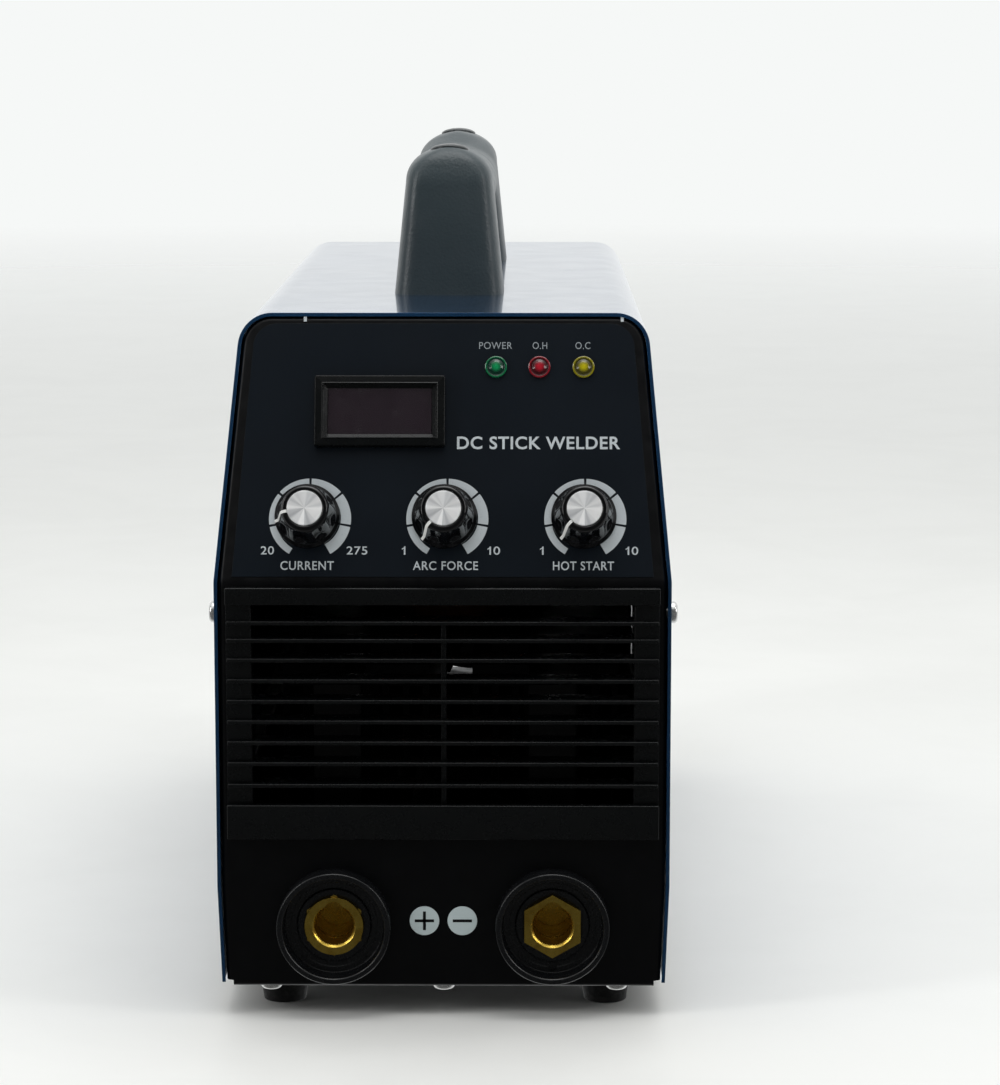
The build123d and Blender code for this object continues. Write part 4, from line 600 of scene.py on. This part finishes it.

# ---- lamps ----
# Three coloured indicator caps, moulded in clear tinted plastic: a rounded rim, a groove and a low
# dome over the lamp's chip. The bright spot over the chip and a bright ring near the rim are painted light in the
# colour.


def turned(profile, centre, to_frame, count=96, bulge=None, ends=True):
    """A turned shape: each (radius, height) of the profile is a circle about the centre. `bulge`
    changes the radius by angle and height."""
    angle = np.linspace(0, 2 * math.pi, count, endpoint=False)
    radius = np.repeat(profile[:, :1], count, 1)
    height = np.repeat(profile[:, 1:], count, 1)
    if bulge is not None:
        radius = radius - bulge(angle[None], height)
    across, up = centre[0] + radius * np.sin(angle), centre[1] + radius * np.cos(angle)
    return skin(to_frame(across, up, height), ends=ends)


def tinted_lens(name, deep, bright, centre):
    """Clear tinted plastic in a deep tone, with light painted into its colour by distance from a point
    over the lamp's chip: a painted glow over the chip and a painted highlight ring near the rim."""
    lens = Finish(name, Coat_Weight=0.35, Coat_Roughness=0.06, Specular_IOR_Level=0.35)
    distance = lens.nodes.new("ShaderNodeVectorMath")
    distance.operation = "DISTANCE"
    lens.put(distance, 0, lens.place)
    lens.put(distance, 1, centre)
    reach = distance.outputs["Value"]
    # painted glow: the colour brightens over the chip, standing in for light off the chip
    painted_chip_glow = lens.span(reach, 0.5 * MM, 2.1 * MM, 1.0, 0.0)
    # painted highlight: a bright ring of colour near the rim, where the rounded rim catches the light
    from_rim = lens.sums("ABSOLUTE", lens.sums("SUBTRACT", reach, 3.5 * MM), 0.0)
    ring = lens.span(from_rim, 0.05 * MM, 0.45 * MM, 0.5, 0.0)
    share = lens.sums("MAXIMUM", painted_chip_glow, ring)
    mottled_painted_light = lens.sums("MULTIPLY", share, lens.span(lens.noise(0.8 * MM), 0.2, 0.8, 0.75, 1.0))
    lens.colour(lens.mixed(mottled_painted_light, deep, bright))
    lens.rough(lens.span(lens.noise(1.1 * MM), 0.3, 0.7, 0.12, 0.22))
    lens.relief(lens.noise(0.6 * MM, detail=2), 0.015 * MM, coat=True)
    return lens


lens_profile = rounded_path(
    np.array([(3.7, 0.25), (3.7, 1.05), (3.35, 1.25), (2.95, 1.15), (2.7, 0.95), (2.35, 1.1), (1.5, 1.75),
              (0.0, 1.95)]) * MM, np.array([0.0, 0.25, 0.2, 0.2, 0.15, 0.3, 0.9]) * MM, 0.05 * MM)
lens_profile = np.concatenate([np.array([(0.0, 0.25)]) * MM, lens_profile])
# each lens's bright tone is its painted glow and painted rim highlight
lens_tones = {
    "power": (tone(3, 48, 36), tone(20, 150, 88), "green_lens"),
    "overheat": (tone(62, 8, 16), tone(190, 30, 48), "red_lens"),
    "overcurrent": (tone(66, 62, 12), tone(196, 184, 20), "amber_lens"),
}
lens_up = 51.2 * MM
for name, (deep, bright, slot) in lens_tones.items():
    low, high = corners(name + "_lamp")
    middle_x = (low[0] + high[0]) / 2
    chip = on_panel(middle_x, lens_up, 1.9 * MM)
    add_piece(name + "_lens", [turned(lens_profile, (middle_x, lens_up), on_panel, count=64)],
              tinted_lens(name + " lens", deep, bright, chip.tolist()), "case", [name + "_lamp"],
              sharp=60)

# ---- dials ----
# Gloss black pressed-on knobs with eight soft finger flutes and a thin skirt, a white pointer line
# filled into the crown and the skirt, and a spun aluminium disc glued in the top.
knob_side = rounded_path(
    np.array([(10.9, 0.75), (10.9, 1.95), (9.8, 3.2), (9.6, 4.2), (8.1, 15.0), (7.2, 16.25), (6.1, 16.25),
              (5.95, 15.9)]) * MM, np.array([0.35, 0.7, 1.0, 3.0, 0.9, 0.5, 0.1]) * MM, 0.22 * MM)
knob_profile = np.concatenate([
    np.array([(0.0, 13.2), (3.05, 13.2), (3.05, 6.35), (7.0, 6.35), (7.0, 0.75)]) * MM, knob_side,
    np.array([(5.95, 15.3), (0.0, 15.3)]) * MM])
dense = np.linspace(0, 1, 13)[:, None]
long_run = int(np.argmax(np.linalg.norm(np.diff(knob_profile[5:], axis=0), axis=1))) + 5
knob_profile = np.concatenate([knob_profile[:long_run],
                               knob_profile[long_run] * (1 - dense) + knob_profile[long_run + 1] * dense,
                               knob_profile[long_run + 2:]])
rest_turn = {name: -SCALE_REACH - turning[name + "_turn"]["range_deg"][0] for name in dial_x}


def flutes(start):
    """Depth of the finger flutes by angle and height: a rounded wave of eight, fading out above the
    skirt and below the crown's top edge."""
    def depth(angle, height):
        wave = (0.5 + 0.5 * np.cos(8 * (angle - start) + math.pi)) ** 0.8
        rise = np.clip((height - 3.3 * MM) / (2.6 * MM), 0, 1)
        fall = np.clip((15.4 * MM - height) / (2.4 * MM), 0, 1)
        fade = (rise * rise * (3 - 2 * rise)) * (fall * fall * (3 - 2 * fall))
        return 1.25 * MM * wave * fade * (height > 3.0 * MM)
    return depth


def pointer_line(centre, angle, half_width=0.5 * MM, lift=0.05 * MM):
    """White line over the knob: the knob's own side profile from the disc's edge to the skirt's rim,
    as a thin raised ribbon."""
    side = knob_side[(knob_side[:, 1] > 1.7 * MM)][::-1]
    outward = np.gradient(side, axis=0)[:, ::-1] * (1, -1)
    outward *= -1 / np.linalg.norm(outward, axis=1)[:, None]
    ribbons = []
    for offset in (lift, -lift):
        line = side + outward * offset
        for edge in (-half_width, half_width):
            across = centre[0] + line[:, 0] * math.sin(angle) + edge * math.cos(angle)
            up = centre[1] + line[:, 0] * math.cos(angle) - edge * math.sin(angle)
            ribbons.append(on_panel(across, up, line[:, 1]))
    return skin(np.stack([ribbons[0], ribbons[1], ribbons[3], ribbons[2]], 1))


def knob_gloss():
    """Polished black phenolic: almost mirror smooth, with fine wipe marks and fingerprints."""
    gloss = Finish("knob plastic", Coat_Weight=0.3, Coat_Roughness=0.05, Specular_IOR_Level=0.4)
    gloss.colour(gloss.mixed(gloss.noise(5 * MM, detail=3), tone(4, 4, 5), tone(8, 8, 10)))
    gloss.rough(gloss.span(gloss.noise(2.5 * MM, detail=5, roughness=0.7), 0.35, 0.75, 0.07, 0.22))
    gloss.relief(gloss.noise(1.2 * MM, detail=2), 0.006 * MM, coat=True)
    return gloss


def spun_disc():
    """Aluminium turned on its face: fine rings that stretch the light into fans. Its colour also carries painted
    fans, grey and white wedges by angle that paint the fan-shaped reflections.
    """
    disc = Finish("spun aluminium", Metallic=0.3, Anisotropic=0.97, Anisotropic_Rotation=0.25)
    round_disc = disc.nodes.new("ShaderNodeUVMap")
    round_disc.uv_map = "turning"
    rings = disc.stretched((0.6, 130.0, 1.0), place=round_disc.outputs["UV"])
    streak = disc.noise(1.0, detail=4, roughness=0.7, place=rings)
    disc.rough(disc.span(streak, 0.2, 0.8, 0.34, 0.46))
    fans = disc.stretched((5.0, 0.0, 1.0), place=round_disc.outputs["UV"])
    wobble_and_painted_fans = disc.noise(1.0, detail=2, place=fans)
    # painted reflection: the colour runs from grey to white in wedges by angle, standing in for the spun disc's
    # fan highlights
    painted_fan_sheen = disc.span(wobble_and_painted_fans, 0.36, 0.56)
    disc.colour(disc.mixed(painted_fan_sheen, tone(176, 178, 182), tone(255, 255, 255)))
    disc.relief(wobble_and_painted_fans, 0.22 * MM)
    disc.relief(streak, 0.004 * MM)
    tangent = disc.nodes.new("ShaderNodeTangent")
    tangent.direction_type = "UV_MAP"
    tangent.uv_map = "turning"
    disc.put(disc.shader, "Tangent", tangent.outputs["Tangent"])
    return disc


def turning_map(piece, centre):
    """UV map of a disc: the first number goes round it and the second from the middle to the rim."""
    mesh = piece.data
    points = np.zeros(len(mesh.vertices) * 3)
    mesh.vertices.foreach_get("co", points)
    corners = np.zeros(len(mesh.loops), np.int32)
    mesh.loops.foreach_get("vertex_index", corners)
    offset = points.reshape(-1, 3)[corners] - knob_line
    across, up = offset[:, 0] - centre[0], offset @ panel_up - centre[1]
    angle = np.arctan2(across, up) / (2 * math.pi)
    totals = np.zeros(len(mesh.polygons), np.int32)
    mesh.polygons.foreach_get("loop_total", totals)
    face = np.repeat(np.arange(len(totals)), totals)
    radius = np.hypot(across, up)
    outer = radius > 1e-6
    first = np.zeros(len(totals))
    first[face[outer][::-1]] = angle[outer][::-1]
    angle = np.where(outer, angle, first[face])
    angle += np.round(first[face] - angle)
    layer = mesh.uv_layers.new(name="turning")
    layer.data.foreach_set("uv", np.stack([angle, radius / (5.85 * MM)], -1).ravel())


gloss_black = knob_gloss()
spun = spun_disc()
pointer_ink = printing_ink("pointer paint", tone(236, 236, 234), tone(196, 196, 194))
cap_profile = np.concatenate([
    np.array([(0.0, 15.45)]) * MM,
    rounded_path(np.array([(5.85, 15.45), (5.85, 16.3), (5.7, 16.43), (0.05, 16.43)]) * MM,
                 np.array([0.08, 0.1]) * MM, 0.04 * MM)])
cap_rings = np.linspace(cap_profile[-2], cap_profile[-1], 14)
cap_profile = np.concatenate([cap_profile[:-2], cap_rings])
for name, x in dial_x.items():
    body = name + "_dial"
    angle = math.radians(rest_turn[name])
    add_piece(name + "_dial_knob", [turned(knob_profile, (x, 0), on_panel, count=192, bulge=flutes(angle))],
              gloss_black, body, [name + "_knob"], sharp=40)
    add_piece(name + "_pointer", [pointer_line((x, 0), angle)], pointer_ink, body)
    disc = add_piece(name + "_dial_disc", [turned(cap_profile, (x, 0), on_panel, count=96)], spun, body,
                     [name + "_knob_cap"], sharp=30)
    turning_map(disc, (x, 0))

# ---- outlet grille ----
# One black moulding pressed into the front panel: a top bar and a deep bottom bar, nine level ribs
# and a thin mullion behind them. Every edge has a small moulded round that catches the light.
grille_low, grille_high = corners("front_grille")
PROUD = 3.4 * MM
grille_face = grille_low[1] + PROUD


def rounded_box(low, high, radius, steps=3):
    """A box with rounded edges: the points of a ball, moved apart by the box's flats. Rows are
    latitudes and columns are longitudes, each doubled where the sign of the direction changes."""
    low, high = np.asarray(low, float), np.asarray(high, float)
    quarter = np.linspace(0, math.pi / 2, steps + 1)
    around = np.concatenate([quarter + k * math.pi / 2 for k in range(4)])
    side_x = np.repeat([1, -1, -1, 1], steps + 1)
    side_y = np.repeat([1, 1, -1, -1], steps + 1)
    rise = np.concatenate([-quarter[::-1], quarter])
    side_z = np.repeat([-1, 1], steps + 1)
    ball = np.stack([np.cos(rise)[:, None] * np.cos(around), np.cos(rise)[:, None] * np.sin(around),
                     np.repeat(np.sin(rise)[:, None], len(around), 1)], -1)
    sides = np.stack(np.broadcast_arrays(side_x[None], side_y[None], side_z[:, None]), -1)
    return skin((low + high) / 2 + sides * ((high - low) / 2 - radius) + ball * radius)


def make_grille():
    """The grille's bars, plates, ribs and mullion, from the outer box inwards."""
    left, right = grille_low[0], grille_high[0]
    window = 64 * MM
    window_low, window_high = grille_low[2] + 11.7 * MM, grille_high[2] - 5.7 * MM
    front, back = grille_low[1], grille_high[1]
    plate = grille_face - 1.2 * MM
    boxes = [((left, front, window_high), (right, grille_face, grille_high[2]), 0.35),
             ((left, front, grille_low[2]), (right, grille_face, window_low), 0.35)]
    for side in (-1, 1):
        near, far = sorted((side * window, side * (right - 0.05 * MM)))
        boxes.append(((near, plate, window_low - MM), (far, grille_face, window_high + MM), 0.25))
        near, far = sorted((side * (window - 0.15 * MM), side * (window + 1.25 * MM)))
        boxes.append(((near, plate + 0.2 * MM, window_low - MM), (far, back, window_high + MM), 0.2))
    shares = np.array([0.091, 0.178, 0.276, 0.379, 0.482, 0.584, 0.689, 0.794, 0.903])
    heights = window_high - shares * (window_high - window_low)
    half = 0.65 * MM
    for height in heights:
        boxes.append(((left + 0.4 * MM, front + 0.2 * MM, height - half),
                      (right - 0.4 * MM, grille_face, height + half), 0.3))
        boxes.append(((-window, grille_face - 0.5 * MM, height - half), (window, back, height + half), 0.15))
    boxes.append(((-0.6 * MM, plate + 0.6 * MM, window_low), (1.2 * MM, back, heights[0]), 0.25))
    return [rounded_box(low, high, radius * MM) for low, high, radius in boxes]


grille_black = moulded_black("grille plastic", tone(6, 8, 9), tone(9, 11, 12), (0.24, 0.32),
                             Specular_IOR_Level=0.4)
add_piece("outlet_grille", make_grille(), grille_black, "case", ["front_grille"], sharp=50)

# ---- output sockets ----
# Two insulating cups turned from black moulding powder, each round a brass insert with a keyed bore.
# A raised ring stands in the floor of each cup, with the marks of the ejector pins beside it.
panel_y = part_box("front_panel")[0][1]


def on_front(across, up, out):
    """Points on the upright lower face: across it, height above the floor, and out from it."""
    across, up, out = np.broadcast_arrays(across, up, out)
    return np.stack([across, panel_y - out, up], -1)


socket_profile = np.concatenate([
    np.array([(9.4, -12.0)]) * MM,
    rounded_path(np.array([(15.8, -12.0), (15.8, -0.05), (19.2, -0.05), (19.2, 7.6), (18.8, 8.0),
                           (17.5, 8.0), (17.1, 7.6), (16.7, 1.5), (14.6, 1.5), (14.5, 1.35), (12.6, 1.35),
                           (12.45, 2.15), (12.1, 2.35), (10.4, 2.35), (9.4, 2.2)]) * MM,
                 np.array([0.0, 0.0, 0.0, 0.5, 0.5, 0.4, 0.4, 0.7, 0.1, 0.1, 0.15, 0.15, 0.15, 0.1]) * MM,
                 0.12 * MM),
    np.array([(9.4, -12.0)]) * MM])
socket_black = moulded_black("socket plastic", tone(8, 9, 11), tone(17, 18, 20), (0.18, 0.34), grain=0.5 * MM,
                             depth=0.02 * MM)


def pin_mark(centre, radius):
    """Shallow disc with a rounded rim, left by an ejector pin."""
    rise = 0.16 * MM
    outline = rounded_path([(0, 0.0), (radius, 0.0), (radius, rise), (0, rise)], [0, 0.1 * MM], 0.03 * MM)
    return turned(outline + (0, 1.4 * MM), centre, on_front, count=24)


def make_sockets():
    """Both cups. Each has its own ejector marks: how far out, how wide and at which bearings."""
    marks = {"positive": (14.6 * MM, 1.1 * MM, (45, 135, 225, 315)),
             "negative": (14.4 * MM, 1.6 * MM, (180,))}
    for name, (reach, radius, bearings) in marks.items():
        low, high = corners(name + "_socket")
        centre = ((low[0] + high[0]) / 2, (low[2] + high[2]) / 2)
        parts = [turned(socket_profile, centre, on_front, count=160, ends=False)]
        for bearing in bearings:
            turn = math.radians(bearing)
            spot = (centre[0] + reach * math.sin(turn), centre[1] + reach * math.cos(turn))
            parts.append(pin_mark(spot, radius))
        add_piece(name + "_cup", parts, socket_black, "case", [name + "_socket"], sharp=45)


def machined_brass():
    """Turned brass: fine tool rings about the bore, and a warm tarnish in patches."""
    brass = Finish("machined brass", Metallic=1.0)
    tool = brass.noise(0.22 * MM, detail=3, place=brass.stretched((0.15, 1.0, 0.15)))
    tarnish = brass.noise(5 * MM, detail=4)
    bright = brass.mixed(tool, tone(214, 178, 66), tone(236, 204, 104))
    brass.colour(brass.mixed(brass.span(tarnish, 0.45, 0.75, 0.0, 0.6), bright, tone(176, 128, 40)))
    brass.rough(brass.span(tool, 0.3, 0.7, 0.2, 0.36))
    brass.relief(tool, 0.01 * MM)
    return brass


make_sockets()
brass = machined_brass()
softened("positive_insert", "positive_brass", 0.18 * MM, brass)
softened("negative_insert", "negative_brass", 0.18 * MM, brass)

# ---- polarity marks ----
# Two pale printed discs between the sockets, with a black plus and a black minus.
disc_low, disc_high = corners("polarity_labels")
disc_z = (disc_low[2] + disc_high[2]) / 2
disc_radius = (disc_high[2] - disc_low[2]) / 2
disc_ink = printing_ink("disc print", tone(190, 203, 205), tone(160, 170, 173))
sunk = -0.02 * MM
disc_outline = rounded_path([(0, sunk), (disc_radius, sunk), (disc_radius, FILM), (0, FILM)],
                            [0, 0.08 * MM], 0.03 * MM)
disc_x = disc_high[0] - disc_radius
add_piece("polarity_discs",
          [turned(disc_outline, (x, disc_z), on_front, count=72) for x in (-disc_x, disc_x)], disc_ink,
          "case", ["polarity_labels"])
bar, half_bar = 3.25 * MM, 0.5 * MM
strokes = [(-disc_x, bar, half_bar), (-disc_x, half_bar, bar), (disc_x, bar, half_bar)]
add_piece("polarity_signs", [
    rounded_box((x - wide, panel_y - FILM - PRINT, disc_z - tall),
                (x + wide, panel_y - FILM + PRINT, disc_z + tall), 0.01 * MM, steps=1)
    for x, wide, tall in strokes], black_ink, "case")

# ---- handle ----
# Hollow-moulded carrying handle in coarse-grained grey-black plastic: two broad legs that narrow
# upwards to a rounded crown, and a slimmer dipped grip between them. Caps hide its two screws.
handle_low, handle_high = corners("handle")
crest = handle_high[2] - handle_low[2]
length = handle_high[1] - handle_low[1]
half_base = handle_high[0]
half_grip = 15.7 * MM
crown = 12 * MM
shoulder = crest - crown


def along(path, count, endpoint=True):
    """The same line with evenly spaced points, with or without its last one."""
    steps = np.concatenate([[0], np.cumsum(np.linalg.norm(np.diff(path, axis=0), axis=1))])
    places = np.linspace(0, steps[-1], count, endpoint=endpoint)
    return np.stack([np.interp(places, steps, column) for column in path.T], -1)


def handle_lines():
    """The handle's outer and inner outline from one base to the other, as matching pairs of points:
    up the leg, round the bend, and half of the grip, then the same mirrored."""
    top, dip = crest, crest - 4.5 * MM
    outer = rounded_path([(0, 0), (5 * MM, top - 11 * MM), (9 * MM, top), (34 * MM, top), (50 * MM, dip),
                          (length / 2, dip)], [15 * MM, 8 * MM, 12 * MM, 12 * MM], 0.4 * MM)
    inner = rounded_path([(42 * MM, 0), (47 * MM, 30 * MM), (length / 2, 30 * MM)], [12 * MM], 0.4 * MM)
    spans = []
    for line, leg_top, grip_start in ((outer, 37 * MM, 52 * MM), (inner, 17 * MM, 62 * MM)):
        leg = line[:, 1] < leg_top
        leg &= line[:, 0] < length / 4
        first = int(np.argmin(leg))
        last = int(np.argmax(line[:, 0] > grip_start))
        spans.append(np.concatenate([along(line[:first + 1], 40)[:-1], along(line[first:last + 1], 50)[:-1],
                                     along(line[last:], 40)]))
    return [np.concatenate([half, (half[:-1] * (-1, 1) + (length, 0))[::-1]]) for half in spans]


def crown_drop(across):
    """How far the arched top lies below its own middle line, by the distance across it."""
    return crown * (1 - np.sqrt(1 - np.clip(across / half_grip, -0.999, 0.999) ** 2))


def make_handle():
    """Rounded-rectangle rings between the two outlines. A ring's points go round a superellipse; the
    width at each point follows its height: a straight taper to the shoulder, then a half ellipse that
    ends in the outline's own top line. Points are then spaced evenly along each ring."""
    outer, inner = handle_lines()
    angle = np.linspace(0, 2 * math.pi, 721)
    squareness = 2 / 5.5
    depth = np.sign(np.cos(angle)) * np.abs(np.cos(angle)) ** squareness
    width = np.sign(np.sin(angle)) * np.abs(np.sin(angle)) ** squareness
    middle, reach = (outer + inner) / 2, (outer - inner) / 2
    side = middle[:, None] + reach[:, None] * depth[None, :, None]
    place, height = side[..., 0], side[..., 1]
    top = np.interp(place, outer[:, 0], outer[:, 1])
    top = np.where(np.abs(place - length / 2) > length / 2 - 20 * MM, crest, top)
    taper = half_base + (half_grip - half_base) * np.clip(height / shoulder, 0, 1)
    over = np.clip((height - top + crown) / crown, 0, 1)
    across = width * taper * np.sqrt(1 - over * over)
    rings = np.stack([across, handle_low[1] + place, handle_low[2] + height], -1)
    return [skin(np.stack([along(ring, 112, endpoint=False) for ring in rings]))]


def on_crown(middle):
    """Points on the arched top about a screw's middle line: across, along, and up from the arch."""
    return lambda across, along_it, up: np.stack(np.broadcast_arrays(
        across, middle + along_it, handle_high[2] - crown_drop(across) + up), -1)


def coarse_grain():
    """Spark-eroded grain, rubbed shinier in patches."""
    grain = Finish("handle plastic")
    lumps = grain.noise(0.9 * MM, detail=3, roughness=0.65)
    pits = grain.cells(1.1 * MM)
    grain.colour(grain.mixed(grain.noise(20 * MM, detail=4), tone(54, 64, 68), tone(66, 77, 81)))
    grain.rough(grain.span(grain.noise(14 * MM, detail=5), 0.3, 0.7, 0.3, 0.46))
    grain.relief(lumps, 0.07 * MM)
    grain.relief(pits, 0.05 * MM)
    return grain


grain = coarse_grain()
add_piece("carrying_handle", make_handle(), grain, "case", ["handle"], sharp=60)
cap_black = moulded_black("cap plastic", tone(30, 35, 37), tone(42, 48, 50), (0.26, 0.4), grain=0.6 * MM,
                          depth=0.03 * MM)
cap_radius = 6.9 * MM
cap_low, cap_high = corners("handle_caps")
cap_outline = rounded_path(np.array([(0.0, -2.2), (6.9, -2.2), (6.9, 0.35), (5.6, 0.75), (0.0, 0.85)]) * MM,
                           np.array([0.0, 0.5, 1.5]) * MM, 0.2 * MM)
add_piece("screw_caps", [turned(cap_outline, (0, 0), on_crown(middle), count=72)
                         for middle in (cap_low[1] + cap_radius, cap_high[1] - cap_radius)],
          cap_black, "case", ["handle_caps"], sharp=50)

# ---- screws, nuts and feet ----
# Bright nickel-plated pan-head screws with a cross recess, zinc-plated nuts, and four tapered rubber
# feet screwed to the tray.


def plated(name, first, second, roughness):
    """Plated steel: bright, with uneven tone and dull patches."""
    metal = Finish(name, Metallic=0.8)
    cloud = metal.noise(1.6 * MM, detail=5, roughness=0.7)
    metal.colour(metal.mixed(cloud, first, second))
    metal.rough(metal.span(cloud, 0.3, 0.7, *roughness))
    metal.relief(metal.noise(0.25 * MM, detail=2), 0.006 * MM)
    return metal


def rubber():
    """Moulded rubber: matt, grey with dust in patches."""
    foot = Finish("foot rubber", Specular_IOR_Level=0.3)
    dust = foot.span(foot.noise(2.5 * MM, detail=5), 0.45, 0.75, 0.0, 0.5)
    foot.colour(foot.mixed(dust, tone(20, 20, 21), tone(52, 51, 49)))
    foot.rough(foot.span(foot.noise(1.2 * MM), 0.3, 0.7, 0.6, 0.8))
    foot.relief(foot.noise(0.4 * MM), 0.03 * MM)
    return foot


bright = plated("bright plating", tone(208, 208, 206), tone(238, 238, 236), (0.1, 0.26))
zinc = plated("zinc plating", tone(150, 154, 158), tone(196, 198, 198), (0.24, 0.4))
for node in ("cover_screws", "base_screws", "fan_screws"):
    softened(node, node.replace("screws", "pan_heads"), 0.12 * MM, bright)
softened("handle_screws", "handle_pan_heads", 0.12 * MM, zinc)
softened("foot_screws", "foot_pan_heads", 0.12 * MM, zinc)
softened("feet", "rubber_feet", 0.4 * MM, rubber(), steps=3)

# ---- fan and its guard ----
# A 120 mm fan behind the rear panel: a moulded frame with four struts and an eleven-bladed wheel. A
# guard of bright wire, spot-welded in rings, stands on the panel under the fan's four screws.
fan_black = moulded_black("fan plastic", tone(18, 19, 20), tone(28, 29, 31), (0.32, 0.48))
softened("fan_frame", "fan_housing", 0.3 * MM, fan_black)
softened("fan_rotor", "fan_wheel", 0.3 * MM, fan_black, body="fan")
guard_steel = plated("guard plating", tone(186, 188, 190), tone(224, 225, 226), (0.14, 0.3))
softened("fan_guard", "wire_guard", 0.05 * MM, guard_steel, steps=1)

# ---- power switch ----
# A rocker switch snapped into the rear panel: a moulded frame, and a glossier rocker that tips
# about a pin across its middle.
switch_black = moulded_black("switch plastic", tone(16, 17, 18), tone(25, 26, 28), (0.34, 0.5))
rocker_black = moulded_black("rocker plastic", tone(20, 21, 22), tone(30, 31, 33), (0.14, 0.28))
softened("power_switch", "switch_frame", 0.25 * MM, switch_black)
softened("power_rocker", "rocker_button", 0.5 * MM, rocker_black, body="rocker", steps=3)

# ---- cable gland and earth stud ----
# Nylon compression gland for the supply cable, and a plated earth bolt with a brass flange nut.
nylon = moulded_black("gland nylon", tone(26, 27, 28), tone(36, 37, 39), (0.36, 0.52), grain=0.5 * MM)
softened("cable_gland", "gland_body", 0.3 * MM, nylon)
softened("gland_dome_nut", "gland_dome", 0.4 * MM, nylon)
softened("earth_stud", "earth_bolt", 0.15 * MM, zinc)
softened("earth_nut", "earth_flange_nut", 0.15 * MM, brass)

# ---- inside ----
# The power stage, seen as dark shapes through the grille and the fan: extruded heat sinks, circuit
# boards, capacitors, the transformer and the choke, with their clamps, nuts and straps. The aluminium heat sinks
# are coloured near black, painted shade for the dark inside of the case.


def inside_finish(name, first, second, roughness, size, depth, metallic=0.0):
    """Plain technical surface: two shades in patches, a roughness that varies, and fine relief."""
    stuff = Finish(name, Metallic=metallic)
    cloud = stuff.noise(size, detail=5)
    stuff.colour(stuff.mixed(cloud, first, second))
    stuff.rough(stuff.span(cloud, 0.3, 0.7, *roughness))
    stuff.relief(stuff.noise(size / 6, detail=2), depth)
    return stuff


inside = {
    # painted shade: the aluminium heat sinks are coloured near black to stand in for the shade inside the case
    "sink_aluminium": (tone(14, 14, 15), tone(22, 22, 24), (0.4, 0.55), 8 * MM, 0.02 * MM),
    "board_laminate": (tone(10, 62, 38), tone(18, 82, 50), (0.3, 0.45), 6 * MM, 0.02 * MM),
    "support_nylon": (tone(18, 18, 19), tone(28, 28, 29), (0.45, 0.6), 4 * MM, 0.02 * MM),
    "device_epoxy": (tone(22, 22, 23), tone(34, 34, 35), (0.45, 0.6), 3 * MM, 0.02 * MM),
    "capacitor_sleeve": (tone(28, 34, 52), tone(38, 46, 66), (0.2, 0.34), 7 * MM, 0.01 * MM),
    "ferrite": (tone(44, 45, 47), tone(60, 61, 63), (0.5, 0.66), 4 * MM, 0.03 * MM),
    "winding_wire": (tone(64, 34, 20), tone(88, 50, 30), (0.3, 0.45), 2 * MM, 0.08 * MM, 0.4),
    "strap_sleeve": (tone(10, 10, 11), tone(17, 17, 18), (0.4, 0.55), 5 * MM, 0.02 * MM),
    "zinc_steel": (tone(150, 154, 158), tone(196, 198, 198), (0.26, 0.42), 3 * MM, 0.01 * MM, 1.0),
    "brass": (tone(196, 158, 62), tone(222, 186, 92), (0.24, 0.4), 3 * MM, 0.01 * MM, 1.0),
    "display_block": (tone(18, 12, 13), tone(28, 18, 20), (0.2, 0.35), 3 * MM, 0.01 * MM),
    "socket_plastic": (tone(12, 13, 15), tone(20, 21, 23), (0.3, 0.45), 4 * MM, 0.02 * MM),
    "gland_nylon": (tone(26, 27, 28), tone(36, 37, 39), (0.4, 0.5), 4 * MM, 0.02 * MM),
}
inside = {slot: inside_finish(slot.replace("_", " ") + " inside", *values) for slot, values in inside.items()}
for row in frame["record"]["subparts"]:
    node = frame["nodes"][row["node"]]
    if not node.hide_render:
        for place in node.material_slots:
            place.material = inside[row["material_slot"]].material
